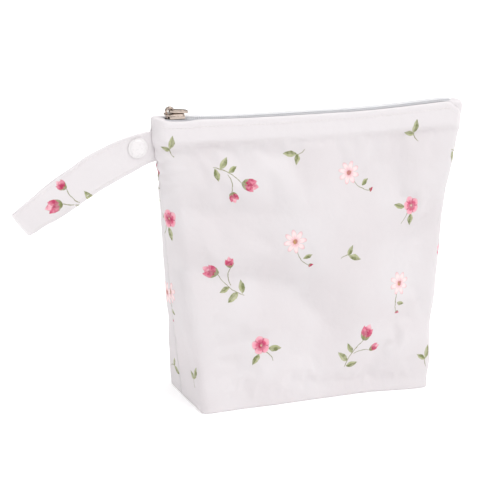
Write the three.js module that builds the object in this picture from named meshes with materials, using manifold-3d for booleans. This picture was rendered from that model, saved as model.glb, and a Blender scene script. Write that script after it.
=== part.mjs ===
// A waterproof zip pouch with a wrist strap, standing on its boxed base.
// Units are millimetres and +Z is up. The front of the bag faces -Y, the strap hangs off its -X side,
// and the origin is the middle of the base, on the surface that the bag stands on.

import * as THREE from "three";
import { mergeVertices } from "three/addons/utils/BufferGeometryUtils.js";
import Module from "manifold-3d";

const wasm = await Module();
wasm.setup();

// Driving dimensions

const GAP = 0.3; // the clearance kept between two pieces that touch

const BAG = {
  topWidth: 230, // along the zip, from seam to seam
  height: 200, // from the table to the top corners
  baseWidth: 175,
  baseDepth: 66,
  mouthDepth: 15, // from the front fold to the back fold
  mouthSag: 3, // how far the mouth dips between its corners
  cornerLift: 1.8, // how far the corner away from the strap stands above the other one
  wall: 1.2,
  bandHeight: 18, // the doubled cloth under the zip
  bandProud: 0.5,
  bandWall: 2.0,
  mouthEnd: 5.5, // the layers of cloth that close the mouth beside each side seam
  foldRound: 0.7, // the rounding of the top fold
  seamBack: 4, // how far behind the middle the seam crosses the base
};

// The bag's sections from the table up. level is the share of the height. sideIn and frontIn are how far the
// walls stand in from the straight taper, crown is how far the front and back swell, corner is a radius.
const SECTIONS = [
  { level: 0.0, sideIn: 1.2, frontIn: 1.2, crown: 0.8, corner: 4.5 },
  { level: 0.016, sideIn: 0.0, frontIn: 0.0, crown: 1.0, corner: 5.5 },
  { level: 0.2, sideIn: 0.0, frontIn: 0.0, crown: 3.0, corner: 10.0 },
  { level: 0.45, sideIn: 0.6, frontIn: 0.0, crown: 6.0, corner: 13.0 },
  { level: 0.7, sideIn: 2.0, frontIn: 0.0, crown: 5.0, corner: 12.0 },
  { level: 0.84, sideIn: 1.2, frontIn: 0.0, crown: 2.0, corner: 9.5 },
  { level: 0.92, sideIn: -0.5, frontIn: 0.0, crown: 0.6, corner: 7.8 },
  { level: 1.0, sideIn: 0.0, frontIn: 0.0, crown: 0.0, corner: 7.5 },
];

// Where the loft places its rings: close together at the bottom edge, the band and the top fold.
const LEVELS = [
  0, 0.006, 0.016, 0.06, 0.12, 0.18, 0.25, 0.32, 0.39, 0.46, 0.53,
  0.6, 0.67, 0.74, 0.8, 0.86, 0.905, 0.92, 0.96, 0.992, 1,
];
const RING = { front: 10, corner: 3 }; // steps in a quarter of a ring

// The main dents of the soft walls. x and z are the middle of the dent, angle is its slope in degrees,
// and side is -1 on the front and +1 on the back.
const DENTS = [
  { side: -1, x: -28, z: 84, length: 92, width: 15, angle: -28, depth: 2.6 },
  { side: -1, x: -52, z: 150, length: 90, width: 13, angle: 8, depth: 1.6 },
  { side: -1, x: 68, z: 128, length: 80, width: 16, angle: 52, depth: 1.8 },
  { side: -1, x: -70, z: 40, length: 60, width: 14, angle: 62, depth: 1.5 },
  { side: 1, x: 30, z: 96, length: 96, width: 16, angle: 24, depth: 2.4 },
  { side: 1, x: -46, z: 140, length: 84, width: 14, angle: -20, depth: 1.8 },
];

const ZIP = {
  halfLength: 108,
  drop: 0.8, // from the top fold down to the tape
  tapeThick: 0.6,
  tapeEdge: 5.2, // half the width of the tape that shows
  tapeHem: 9, // how far the tape runs down behind the cloth
  tapeInner: 0.4, // half the slit between the two tapes
  neckInner: 2.1, // the same where the slider parts them
  coilHalf: 2.8,
  coilHigh: 1.9,
  station: 6, // the step between two sections along the zip
};

const SLIDER = {
  nose: -106.4, // the end that leads when the zip closes
  tail: -94.4,
  noseHalf: 4.25,
  tailHalf: 3.7,
  plate: 1.3,
  lip: 0.8, // the flange along each long edge
  neckHalf: 1.3,
  neckLong: 3.4,
  archInner: 1.7,
  archOuter: 3.0,
  archHalf: 1.0, // half the arch's width across the zip
};

const PULLER = {
  long: 15.5,
  half: 3.0,
  endHalf: 3.4,
  thick: 1.2,
  windowFrom: 0.7, // the pivot bar reaches this far from the hinge line
  windowTo: 4.5,
  windowHalf: 1.6,
  restTilt: 4, // degrees below level, where it lies on the slider's tail
};

const STRAP = {
  thick: 1.8,
  seamZ: 181, // height of the strap's middle where the side seam holds it
  seamTilt: 17, // degrees below level where it leaves the seam
  endTilt: 40, // degrees below level at the far fold
  long: 101,
  steps: 64,
};

// The strap's loop from the seam out along the front leg, round the fold and back. along is the distance
// from the seam, y is the leg's middle, and lean is how far the upper edge tips to the front, in degrees.
const LOOP = [
  { along: -5.0, y: -0.6, width: 20.0, lean: 0 },
  { along: 2.0, y: -1.0, width: 20.2, lean: 0 },
  { along: 11.0, y: -1.1, width: 21.0, lean: 0 },
  { along: 20.0, y: -1.3, width: 22.4, lean: 0 },
  { along: 42.0, y: -3.4, width: 22.8, lean: 2 },
  { along: 66.0, y: -5.2, width: 22.8, lean: 10 },
  { along: 88.0, y: -5.2, width: 22.6, lean: 17 },
  { along: 99.0, y: -3.8, width: 22.6, lean: 19 },
  { along: 102.8, y: 0.0, width: 22.6, lean: 20 },
  { along: 99.0, y: 3.8, width: 22.6, lean: 19 },
  { along: 88.0, y: 5.2, width: 22.6, lean: 17 },
  { along: 66.0, y: 5.2, width: 22.8, lean: 10 },
  { along: 42.0, y: 4.4, width: 22.8, lean: 2 },
  { along: 20.0, y: 3.6, width: 22.4, lean: 0 },
  { along: 11.0, y: 3.5, width: 21.0, lean: 0 },
  { along: 3.4, y: 3.5, width: 20.2, lean: 0 },
];

const SNAP = {
  along: 11.5, // from the seam to the middle of the press stud
  across: 3.2, // above the middle of the strap's width
  radius: 6.8,
  dome: 1.5,
  rim: 0.7,
  postRadius: 5,
  pinRadius: 1.2,
  holeRadius: 1.6,
  sides: 28,
};

// Small helpers

const lerp = THREE.MathUtils.lerp;
const smooth = THREE.MathUtils.smoothstep;
const radians = THREE.MathUtils.degToRad;

// A value read from a table between its rows, on a smooth curve through them.
function readTable(rows, at, key, column) {
  const last = rows.length - 1;
  let i = 0;
  while (i < last - 1 && at > rows[i + 1][key]) i += 1;
  const slope = (j) => {
    const lo = rows[Math.max(j - 1, 0)];
    const hi = rows[Math.min(j + 1, last)];
    return (hi[column] - lo[column]) / (hi[key] - lo[key]);
  };
  const step = rows[i + 1][key] - rows[i][key];
  const t = THREE.MathUtils.clamp((at - rows[i][key]) / step, 0, 1);
  const t2 = t * t;
  const t3 = t2 * t;
  return (
    rows[i][column] * (2 * t3 - 3 * t2 + 1) +
    rows[i + 1][column] * (3 * t2 - 2 * t3) +
    slope(i) * step * (t3 - 2 * t2 + t) +
    slope(i + 1) * step * (t3 - t2)
  );
}

// Which two axes a flat ring is drawn in, so that its cap can be cut into triangles.
function capTriangles(ring) {
  const normal = new THREE.Vector3();
  ring.forEach((p, i) => normal.add(p.clone().cross(ring[(i + 1) % ring.length])));
  const size = [Math.abs(normal.x), Math.abs(normal.y), Math.abs(normal.z)];
  const axis = size.indexOf(Math.max(...size));
  const flat = ring.map((p) => {
    if (axis === 0) return new THREE.Vector2(p.y, p.z);
    if (axis === 1) return new THREE.Vector2(p.z, p.x);
    return new THREE.Vector2(p.x, p.y);
  });
  const turn = normal.getComponent(axis) > 0 ? 1 : -1;
  return THREE.ShapeUtils.triangulateShape(flat, []).map(([a, b, c]) => {
    const ab = flat[b].clone().sub(flat[a]);
    const ac = flat[c].clone().sub(flat[a]);
    return ab.cross(ac) * turn > 0 ? [a, b, c] : [a, c, b];
  });
}

// A closed body through rings of points, each with as many points as the others, and a cap at both ends.
function loft(rings) {
  const count = rings[0].length;
  const position = rings.flat().flatMap((p) => [p.x, p.y, p.z]);
  const index = [];
  for (let k = 0; k + 1 < rings.length; k += 1) {
    for (let i = 0; i < count; i += 1) {
      const a = k * count + i;
      const b = k * count + ((i + 1) % count);
      index.push(a, b, b + count, a, b + count, a + count);
    }
  }
  const top = (rings.length - 1) * count;
  capTriangles(rings[0]).forEach(([a, b, c]) => index.push(a, c, b));
  capTriangles(rings.at(-1)).forEach(([a, b, c]) => index.push(top + a, top + b, top + c));
  const geometry = new THREE.BufferGeometry();
  geometry.setAttribute("position", new THREE.Float32BufferAttribute(position, 3));
  return geometry.setIndex(index);
}

// A geometry as a solid that can be joined and cut, and back again.
function solid(geometry) {
  const bare = geometry.clone();
  bare.deleteAttribute("normal");
  bare.deleteAttribute("uv");
  const merged = mergeVertices(bare, 1e-4);
  const triVerts = new Uint32Array(merged.index.array);
  const vertProperties = new Float32Array(merged.attributes.position.array);
  const made = new wasm.Manifold(new wasm.Mesh({ numProp: 3, vertProperties, triVerts }));
  if (made.volume() > 0) return made;
  return new wasm.Manifold(new wasm.Mesh({ numProp: 3, vertProperties, triVerts: triVerts.reverse() }));
}

function geometryOf(made) {
  const mesh = made.getMesh();
  const geometry = new THREE.BufferGeometry();
  geometry.setAttribute("position", new THREE.BufferAttribute(mesh.vertProperties, 3));
  geometry.setIndex(new THREE.BufferAttribute(mesh.triVerts, 1));
  geometry.computeVertexNormals();
  return geometry;
}

function box(low, high) {
  const size = high.clone().sub(low);
  const middle = low.clone().add(high).multiplyScalar(0.5);
  return new THREE.BoxGeometry(size.x, size.y, size.z).translate(middle.x, middle.y, middle.z);
}

// Materials

const cloth = new THREE.MeshStandardMaterial({ color: 0xf3eeef, roughness: 0.75, metalness: 0 });
const tapeCloth = new THREE.MeshStandardMaterial({ color: 0xc9cacf, roughness: 0.85, metalness: 0 });
const nylon = new THREE.MeshStandardMaterial({ color: 0xdddee2, roughness: 0.45, metalness: 0 });
const nickel = new THREE.MeshStandardMaterial({ color: 0xb8aaa2, roughness: 0.22, metalness: 1 });
const snapPlastic = new THREE.MeshStandardMaterial({ color: 0xf6f2f1, roughness: 0.35, metalness: 0 });

// The bag's walls

function section(level) {
  const row = (column) => readTable(SECTIONS, level, "level", column);
  return {
    halfWidth: lerp(BAG.baseWidth, BAG.topWidth, level) / 2 - row("sideIn"),
    halfDepth: lerp(BAG.baseDepth, BAG.mouthDepth, level) / 2 - row("frontIn"),
    crown: row("crown"),
    corner: row("corner"),
  };
}

// A soft rectangle with swollen long sides, anticlockwise from the side seam at +X.
function outline({ halfWidth, halfDepth, crown, corner }) {
  const r = Math.min(corner, halfDepth - 0.2);
  const straight = halfWidth - r;
  const quarter = [new THREE.Vector2(halfWidth, 0)];
  for (let i = 0; i < RING.corner; i += 1) {
    const angle = (i / RING.corner) * (Math.PI / 2);
    const x = straight + r * Math.cos(angle);
    quarter.push(new THREE.Vector2(x, halfDepth - r + r * Math.sin(angle)));
  }
  for (let i = 0; i <= RING.front; i += 1) {
    const x = straight * (1 - i / RING.front);
    quarter.push(new THREE.Vector2(x, halfDepth + crown * (1 - (x / straight) ** 2)));
  }
  const left = quarter.slice(0, -1).reverse();
  const back = [...quarter, ...left.map((p) => new THREE.Vector2(-p.x, p.y))];
  const front = back.slice(1, -1).reverse();
  return [...back, ...front.map((p) => new THREE.Vector2(p.x, -p.y))];
}

function dentDepth(x, y, z) {
  let depth = 0;
  for (const dent of DENTS) {
    if (y * dent.side <= 0) continue;
    const angle = radians(dent.angle);
    const along = (x - dent.x) * Math.cos(angle) + (z - dent.z) * Math.sin(angle);
    const across = (z - dent.z) * Math.cos(angle) - (x - dent.x) * Math.sin(angle);
    depth += dent.depth * Math.exp(-((across / dent.width) ** 2) - (along / (dent.length / 2)) ** 4);
  }
  return depth;
}

// How far the mouth lies below its height at the strap's corner.
function mouthDip(x) {
  const share = THREE.MathUtils.clamp((2 * x) / BAG.topWidth, -1, 1);
  return BAG.mouthSag * (1 - share ** 2) - BAG.cornerLift * smooth(share, 0.2, 1);
}

// One ring of the outer skin, or of the hollow when inner is true.
function ringAt(level, inner) {
  const shape = section(level);
  const band = smooth(level, 1 - BAG.bandHeight / BAG.height - 0.012, 1 - BAG.bandHeight / BAG.height);
  const fold = inner ? 0 : BAG.foldRound * smooth(level, 0.992, 1);
  const wall = inner ? lerp(BAG.wall, BAG.bandWall, band) : fold;
  const closing = inner ? smooth(level, 0.92, 0.97) : 0;
  const end = inner ? lerp(BAG.wall, BAG.mouthEnd, closing) : fold;
  const plain = outline(shape);
  const inset = outline({
    ...shape,
    halfWidth: shape.halfWidth - end,
    halfDepth: shape.halfDepth - wall,
    corner: lerp(Math.max(1, shape.corner - wall), 1, closing),
  });
  return inset.map((p, i) => {
    const before = plain[(i + plain.length - 1) % plain.length];
    const after = plain[(i + 1) % plain.length];
    const normal = new THREE.Vector2(after.y - before.y, before.x - after.x).normalize();
    const z = level * BAG.height;
    const proud = inner ? 0 : BAG.bandProud * band;
    const moved = p.clone().addScaledVector(normal, proud - dentDepth(plain[i].x, plain[i].y, z));
    return new THREE.Vector3(moved.x, moved.y, z - mouthDip(p.x) * smooth(level, 0.7, 1));
  });
}

// The skin goes up the outside, over the top fold and down the inside to the floor.
function bagShell() {
  const outer = LEVELS.map((level) => ringAt(level, false));
  const floor = BAG.wall / BAG.height;
  const hollow = [floor, ...LEVELS.filter((level) => level > 3 * floor)].map((level) => ringAt(level, true));
  return solid(loft([...outer, ...hollow.reverse()]));
}

// The strap

const seamX = -section(STRAP.seamZ / BAG.height).halfWidth;

// A point of the strap, from its distance along the way out of the seam, its depth, its place across the
// width and its lean.
function strapPoint(along, y, across, lean = 0) {
  const start = radians(STRAP.seamTilt);
  const turn = radians(STRAP.endTilt - STRAP.seamTilt) / STRAP.long;
  const tilt = start + turn * along;
  const x = seamX - (Math.sin(tilt) - Math.sin(start)) / turn;
  const z = STRAP.seamZ + (Math.cos(tilt) - Math.cos(start)) / turn;
  const up = across * Math.cos(radians(lean));
  const depth = y - across * Math.sin(radians(lean));
  return new THREE.Vector3(x - up * Math.sin(tilt), depth, z + up * Math.cos(tilt));
}

// A slim cylinder through the strap, along the depth, at the middle of the press stud.
function throughSnap(radius, lowY, highY) {
  const at = strapPoint(SNAP.along, 0, SNAP.across);
  const pin = new THREE.CylinderGeometry(radius, radius, highY - lowY, SNAP.sides);
  return pin.translate(at.x, (lowY + highY) / 2, at.z);
}

function strapBand() {
  const path = new THREE.CatmullRomCurve3(LOOP.map((row) => new THREE.Vector3(row.along, row.y, 0)));
  const cut = new THREE.CatmullRomCurve3(LOOP.map((row) => new THREE.Vector3(row.width, row.lean, 0)));
  const rings = [];
  for (let i = 0; i <= STRAP.steps; i += 1) {
    const t = path.getUtoTmapping(i / STRAP.steps);
    const middle = path.getPoint(t);
    const way = path.getTangent(t);
    const { x: width, y: lean } = cut.getPoint(t);
    const half = width / 2;
    const soft = half - STRAP.thick / 3;
    const corners = [
      [1, -soft],
      [0, -half],
      [-1, -soft],
      [-1, soft],
      [0, half],
      [1, soft],
    ];
    const ring = corners.map(([face, across]) => {
      const along = middle.x - (face * way.y * STRAP.thick) / 2;
      const y = middle.y + (face * way.x * STRAP.thick) / 2;
      return strapPoint(along, y, across, lean);
    });
    rings.push(ring);
  }
  return solid(loft(rings)).subtract(solid(throughSnap(SNAP.holeRadius, -8, 8)));
}

// The slot in the side seam that the strap's end goes into.
function strapSlot() {
  const half = LOOP[1].width / 2 + GAP;
  const thick = STRAP.thick / 2 + GAP;
  const corners = [
    [-1, -half],
    [1, -half],
    [1, half],
    [-1, half],
  ];
  const rings = [-6, 3].map((along) => {
    const middle = readTable(LOOP.slice(0, 4), along, "along", "y");
    return corners.map(([face, across]) => strapPoint(along, middle + face * thick, across));
  });
  return solid(loft(rings));
}

// The press stud, turned about the depth axis

function snapCap(facing) {
  const legFace = facing < 0 ? LOOP[2].y - STRAP.thick / 2 - GAP : LOOP[14].y + STRAP.thick / 2 + GAP;
  const r = SNAP.radius;
  const profile = [
    [0, 0],
    [r - 0.3, 0],
    [r, 0.3],
    [r, SNAP.rim],
    [r * 0.86, SNAP.rim + 0.45],
    [r * 0.55, SNAP.dome - 0.12],
    [0, SNAP.dome],
  ].map(([x, y]) => new THREE.Vector2(x, y));
  const at = strapPoint(SNAP.along, 0, SNAP.across);
  const disc = new THREE.LatheGeometry(profile, SNAP.sides);
  if (facing < 0) disc.rotateX(Math.PI);
  return geometryOf(solid(disc.translate(at.x, legFace, at.z)));
}

function snapPost() {
  const low = LOOP[2].y + STRAP.thick / 2 + GAP;
  const high = LOOP[14].y - STRAP.thick / 2 - GAP;
  const reach = STRAP.thick + GAP;
  const disc = solid(throughSnap(SNAP.postRadius, low, high));
  return geometryOf(disc.add(solid(throughSnap(SNAP.pinRadius, low - reach, high + reach))));
}

// The zip

function zipTop(x) {
  return BAG.height - mouthDip(x) - ZIP.drop;
}

function stations(from, to) {
  const count = Math.ceil((to - from) / ZIP.station);
  return Array.from({ length: count + 1 }, (_, i) => lerp(from, to, i / count));
}

// One side's tape: it lies flat in the mouth, then turns down behind the cloth.
function tape(side) {
  const rings = stations(-ZIP.halfLength, ZIP.halfLength).map((x) => {
    const inner = lerp(ZIP.neckInner, ZIP.tapeInner, smooth(x, SLIDER.nose + SLIDER.neckLong, SLIDER.tail));
    const edge = ZIP.tapeEdge;
    const ring = [
      [inner, 0],
      [edge, 0],
      [edge, -ZIP.tapeHem],
      [edge - ZIP.tapeThick, -ZIP.tapeHem],
      [edge - ZIP.tapeThick, -ZIP.tapeThick],
      [inner, -ZIP.tapeThick],
    ].map(([y, z]) => new THREE.Vector3(x, side * y, zipTop(x) + z));
    return side > 0 ? ring.reverse() : ring;
  });
  return geometryOf(solid(loft(rings)));
}

// The closed coils, as one bar with a groove down the middle, on top of the tapes.
function coil() {
  const half = ZIP.coilHalf;
  const high = ZIP.coilHigh;
  const rings = stations(SLIDER.tail + GAP, ZIP.halfLength - 1).map((x) =>
    [
      [-half, GAP],
      [half, GAP],
      [half, high * 0.62],
      [half * 0.6, high],
      [half * 0.14, high],
      [0, high * 0.7],
      [-half * 0.14, high],
      [-half * 0.6, high],
      [-half, high * 0.62],
    ].map(([y, z]) => new THREE.Vector3(x, y, zipTop(x) + z)),
  );
  return geometryOf(solid(loft(rings)));
}

// Heights in the slider, measured from the tape's top at its middle.
const sliderX = (SLIDER.nose + SLIDER.tail) / 2;
const plateLow = zipTop(sliderX) + ZIP.coilHigh + GAP;
const plateTop = plateLow + SLIDER.plate;
const bottomHigh = zipTop(sliderX) - ZIP.tapeThick - 2 * GAP;
const pivot = new THREE.Vector3(SLIDER.nose + SLIDER.archOuter + 0.4, 0, plateTop + SLIDER.archInner);

// A plate that is broad at the nose and narrow at the tail, with its nose notched between two shoulders.
function plateShape() {
  const { nose, tail, noseHalf, tailHalf } = SLIDER;
  const waist = lerp(nose, tail, 0.55);
  const shape = new THREE.Shape();
  shape.moveTo(nose + 1.6, 0);
  shape.lineTo(nose, -noseHalf * 0.45);
  shape.quadraticCurveTo(nose - 0.2, -noseHalf, nose + 2.2, -noseHalf);
  shape.bezierCurveTo(waist - 2, -noseHalf, waist - 1, -tailHalf, waist, -tailHalf);
  shape.lineTo(tail - 0.8, -tailHalf);
  shape.quadraticCurveTo(tail, -tailHalf, tail, -tailHalf + 0.8);
  shape.lineTo(tail, tailHalf - 0.8);
  shape.quadraticCurveTo(tail, tailHalf, tail - 0.8, tailHalf);
  shape.lineTo(waist, tailHalf);
  shape.bezierCurveTo(waist - 1, tailHalf, waist - 2, noseHalf, nose + 2.2, noseHalf);
  shape.quadraticCurveTo(nose - 0.2, noseHalf, nose, noseHalf * 0.45);
  return shape;
}

function extrude(shape, depth, curveSegments) {
  return new THREE.ExtrudeGeometry(shape, { depth, bevelEnabled: false, curveSegments });
}

// The half ring and two legs that hold the puller, drawn in the X-Z plane.
function archShape() {
  const { archInner, archOuter } = SLIDER;
  const foot = plateTop - 0.2 - pivot.z;
  const shape = new THREE.Shape();
  shape.moveTo(archOuter, foot);
  shape.lineTo(archOuter, 0);
  shape.absarc(0, 0, archOuter, 0, Math.PI, false);
  shape.lineTo(-archOuter, foot);
  shape.lineTo(-archInner, foot);
  shape.lineTo(-archInner, 0);
  shape.absarc(0, 0, archInner, Math.PI, 0, true);
  shape.lineTo(archInner, foot);
  return shape;
}

function slider() {
  const { nose, tail, tailHalf, plate, lip, neckHalf, neckLong, archHalf } = SLIDER;
  const top = solid(extrude(plateShape(), plate, 5).translate(0, 0, plateLow));
  const bottom = solid(extrude(plateShape(), plate, 5).translate(0, 0, bottomHigh - plate));
  const neckLow = new THREE.Vector3(nose + 1.2, -neckHalf, bottomHigh - 0.2);
  const neckHigh = new THREE.Vector3(nose + 1.2 + neckLong, neckHalf, plateLow + 0.2);
  let made = top.add(bottom).add(solid(box(neckLow, neckHigh)));
  const waist = lerp(nose, tail, 0.55);
  for (const side of [-1, 1]) {
    const y = [side * (tailHalf - lip), side * tailHalf];
    const low = new THREE.Vector3(waist, Math.min(...y), zipTop(sliderX) + GAP);
    const high = new THREE.Vector3(tail - 0.8, Math.max(...y), plateLow + 0.2);
    made = made.add(solid(box(low, high)));
  }
  const arch = extrude(archShape(), 2 * archHalf, 8).rotateX(Math.PI / 2);
  return geometryOf(made.add(solid(arch.translate(pivot.x, archHalf, pivot.z))));
}

// The pull tab about its hinge line: a bar under the arch, a window round it, and a rounded tongue.
function pullerPlate() {
  const { long, half, endHalf, thick, windowFrom, windowTo, windowHalf } = PULLER;
  const shape = new THREE.Shape();
  shape.moveTo(-windowFrom, -half + 0.8);
  shape.quadraticCurveTo(-windowFrom, -half, 0.4, -half);
  shape.lineTo(long - endHalf, -endHalf);
  shape.absarc(long - endHalf, 0, endHalf, -Math.PI / 2, Math.PI / 2, false);
  shape.lineTo(0.4, half);
  shape.quadraticCurveTo(-windowFrom, half, -windowFrom, half - 0.8);
  const window = new THREE.Path();
  window.moveTo(windowFrom, -windowHalf);
  window.lineTo(windowFrom, windowHalf);
  window.lineTo(windowTo, windowHalf);
  window.lineTo(windowTo, -windowHalf);
  shape.holes.push(window);
  return geometryOf(solid(extrude(shape, thick, 8).translate(0, 0, -thick / 2)));
}

// The assembly

const bag = new THREE.Group();

function place(name, geometry, material, parent = bag) {
  const mesh = new THREE.Mesh(geometry, material);
  mesh.name = name;
  parent.add(mesh);
  return mesh;
}

// The side seams run from the middle of the mouth to a little behind the middle of the base.
function besideSeam(side) {
  const wide = BAG.topWidth;
  const tall = BAG.height * 2;
  const near = box(new THREE.Vector3(-wide, -GAP / 2, -tall), new THREE.Vector3(wide, wide, tall));
  if (side < 0) near.rotateZ(Math.PI);
  return solid(near.rotateX(Math.atan(BAG.seamBack / BAG.height)).translate(0, BAG.seamBack, 0));
}

const shell = bagShell().subtract(strapSlot());
place("front_panel", geometryOf(shell.subtract(besideSeam(1))), cloth);
place("back_panel", geometryOf(shell.subtract(besideSeam(-1))), cloth);

place("zip_tape_front", tape(-1), tapeCloth);
place("zip_tape_back", tape(1), tapeCloth);
place("zip_coil", coil(), nylon);
place("zip_slider", slider(), nickel);

const hinge = new THREE.Group();
hinge.position.copy(pivot);
hinge.rotation.y = radians(PULLER.restTilt);
bag.add(hinge);
place("zip_puller", pullerPlate(), nickel, hinge);

place("strap", geometryOf(strapBand()), cloth);
place("snap_cap_front", snapCap(-1), snapPlastic);
place("snap_cap_back", snapCap(1), snapPlastic);
place("snap_post", snapPost(), snapPlastic);

export default bag;
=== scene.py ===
# %% [markdown]
# A waterproof bag with a wrist strap
# The real thing is a pouch of thin coated cotton that stands on a boxed base and closes with a coil zip.
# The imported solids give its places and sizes, and this script dresses them: soft cloth, print, thread,
# zip teeth, bright metal and plastic. Everything is in metres in the frame of the solids, so a new piece
# goes where its solid is, and nothing has to be fitted.

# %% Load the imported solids
import math

import bmesh
import bpy
from mathutils import Matrix, Vector, noise


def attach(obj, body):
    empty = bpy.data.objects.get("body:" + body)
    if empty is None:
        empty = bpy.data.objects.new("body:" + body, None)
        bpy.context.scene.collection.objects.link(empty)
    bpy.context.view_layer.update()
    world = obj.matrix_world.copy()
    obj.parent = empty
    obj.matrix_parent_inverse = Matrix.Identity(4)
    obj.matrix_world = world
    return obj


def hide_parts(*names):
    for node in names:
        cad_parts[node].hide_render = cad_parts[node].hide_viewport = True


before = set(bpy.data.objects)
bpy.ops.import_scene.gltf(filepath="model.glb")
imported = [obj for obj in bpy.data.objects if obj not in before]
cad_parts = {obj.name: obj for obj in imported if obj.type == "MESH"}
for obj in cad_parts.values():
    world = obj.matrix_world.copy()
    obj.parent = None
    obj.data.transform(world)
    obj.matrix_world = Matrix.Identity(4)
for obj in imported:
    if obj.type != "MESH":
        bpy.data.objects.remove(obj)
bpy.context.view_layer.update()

MM = 0.001
print("solids:", ", ".join(sorted(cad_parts)))

# %% [markdown]
# The camera
# A camera is a place, a turn and a lens. These numbers were found by matching the bag's corners with the
# photograph, so that the render can be laid over it. The long lens keeps the upright edges nearly parallel.

# %% Camera
eye = bpy.data.cameras.new("photo_camera")
eye.lens, eye.sensor_width = 121.411, 36.0
camera = bpy.data.objects.new("photo_camera", eye)
camera.location = (-0.46428, -0.97748, 0.42623)
camera.rotation_euler = [math.radians(angle) for angle in (73.4593, -1.9907, -22.4051)]
bpy.context.scene.collection.objects.link(camera)
bpy.context.scene.camera = camera
print("camera lens:", eye.lens, "mm")

# %% [markdown]
# Light
# The photograph is high key: white all round, with only a breath of shade in the folds. A sky that is
# bright overhead and dim low down gives that shade, and gives the metal something dark to mirror. Two
# broad far lamps, the stronger at the front right, model the cloth. One small lamp would be simpler, but
# its hard shadow is nowhere in the photograph. Past the floor's edge the camera sees plain white, as with
# a paper backdrop.

# %% Sky and lamps
scene = bpy.context.scene
scene.view_settings.view_transform = "Standard"
sky = bpy.data.worlds.new("studio_sky")
scene.world = sky
sky.use_nodes = True
sky_nodes = sky.node_tree.nodes
sky_links = sky.node_tree.links
direction = sky_nodes.new("ShaderNodeTexCoord")
facing = sky_nodes.new("ShaderNodeVectorMath")
facing.operation = "DOT_PRODUCT"
facing.inputs[1].default_value = Vector((0.25, 0.2, 0.95)).normalized()
shade = sky_nodes.new("ShaderNodeMapRange")
shade.interpolation_type = "SMOOTHSTEP"
for socket, value in zip(("From Min", "From Max", "To Min", "To Max"), (0.0, 1.0, 0.09, 0.99)):
    shade.inputs[socket].default_value = value
sky_links.new(direction.outputs["Generated"], facing.inputs[0])
sky_links.new(facing.outputs["Value"], shade.inputs["Value"])
paper = sky_nodes.new("ShaderNodeMath")
paper.operation = "MAXIMUM"
sky_links.new(shade.outputs["Result"], paper.inputs[0])
sky_links.new(sky_nodes.new("ShaderNodeLightPath").outputs["Is Camera Ray"], paper.inputs[1])
sky_links.new(paper.outputs["Value"], sky_nodes["Background"].inputs["Strength"])
sky_nodes["Background"].inputs["Color"].default_value = (1.0, 1.0, 1.0, 1.0)


def far_lamp(name, way, strength, spread):
    """A distant lamp that shines from one way and is as broad as its spread in degrees."""
    data = bpy.data.lights.new(name, "SUN")
    data.energy, data.angle = strength, math.radians(spread)
    made = bpy.data.objects.new(name, data)
    made.rotation_euler = Vector(way).to_track_quat("Z", "Y").to_euler()
    scene.collection.objects.link(made)


far_lamp("key_lamp", (0.5, -0.55, 1.0), 1.6, 40.0)
far_lamp("fill_lamp", (-0.85, -0.25, 0.75), 0.85, 60.0)

# %% [markdown]
# From mesh to object
# A bmesh is a mesh that is being worked on. When it is done, it becomes an object in the scene. The object
# could be moved to its place, but a pattern on object coordinates would then slide when the model is
# exported. So every place is in the mesh, and the object stays at the origin.


# %% Show helper
def show(name, bm, *materials):
    """Makes the object. Its place is in its mesh, so the object itself stays at the origin."""
    data = bpy.data.meshes.new(name)
    for face in bm.faces:
        face.smooth = True
    bm.to_mesh(data)
    bm.free()
    for material in materials:
        data.materials.append(material)
    made = bpy.data.objects.new(name, data)
    scene.collection.objects.link(made)
    print(name + ":", len(data.vertices), "points,", len(data.polygons), "faces")
    return made


# %% [markdown]
# Shader helpers
# Materials here are node trees, and the same few moves come again and again: a sum, a soft step, a mix of
# two colours, a group that is placed with its own values. A few short helpers keep the recipes readable.


# %% Node helpers
def feed(tree, socket, value):
    """Links another node's output, or sets a plain value."""
    if isinstance(value, bpy.types.NodeSocket):
        tree.links.new(value, socket)
    elif value is not None:
        socket.default_value = value


def node(tree, kind, *values, **settings):
    """A shader node with its settings, and its inputs fed in order."""
    made = tree.nodes.new("ShaderNode" + kind)
    for key, value in settings.items():
        setattr(made, key, value)
    for socket, value in zip(made.inputs, values):
        feed(tree, socket, value)
    return made


def calc(tree, operation, *values):
    """One step of arithmetic."""
    return node(tree, "Math", *values, operation=operation).outputs[0]


def move(tree, operation, *values):
    """One step of vector arithmetic."""
    return node(tree, "VectorMath", *values, operation=operation).outputs[0]


def soft_step(tree, value, low, high):
    """0 below low, 1 above high, and a smooth rise between them."""
    made = node(tree, "MapRange", value, low, high, 0.0, 1.0, interpolation_type="SMOOTHSTEP")
    return made.outputs[0]


def tinge(tree, share, under, over):
    """A mix of two colours."""
    made = tree.nodes.new("ShaderNodeMix")
    made.data_type = "RGBA"
    for index, value in ((0, share), (6, under), (7, over)):
        feed(tree, made.inputs[index], value)
    return made.outputs[2]


def turn(tree, vector, angle):
    """A vector turned in the plane of the cloth."""
    made = node(tree, "VectorRotate", rotation_type="Z_AXIS")
    feed(tree, made.inputs["Vector"], vector)
    feed(tree, made.inputs["Angle"], angle)
    return made.outputs[0]


# %% Group helpers
SOCKETS = {"value": "NodeSocketFloat", "vector": "NodeSocketVector", "colour": "NodeSocketColor"}


def new_group(name, inputs, outputs):
    """An empty node group with named sockets."""
    tree = bpy.data.node_groups.new(name, "ShaderNodeTree")
    for label, (kind, value) in inputs.items():
        socket = tree.interface.new_socket(label, in_out="INPUT", socket_type=SOCKETS[kind])
        socket.default_value = value
    for label, kind in outputs.items():
        tree.interface.new_socket(label, in_out="OUTPUT", socket_type=SOCKETS[kind])
    return tree, tree.nodes.new("NodeGroupInput").outputs, tree.nodes.new("NodeGroupOutput").inputs


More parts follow.
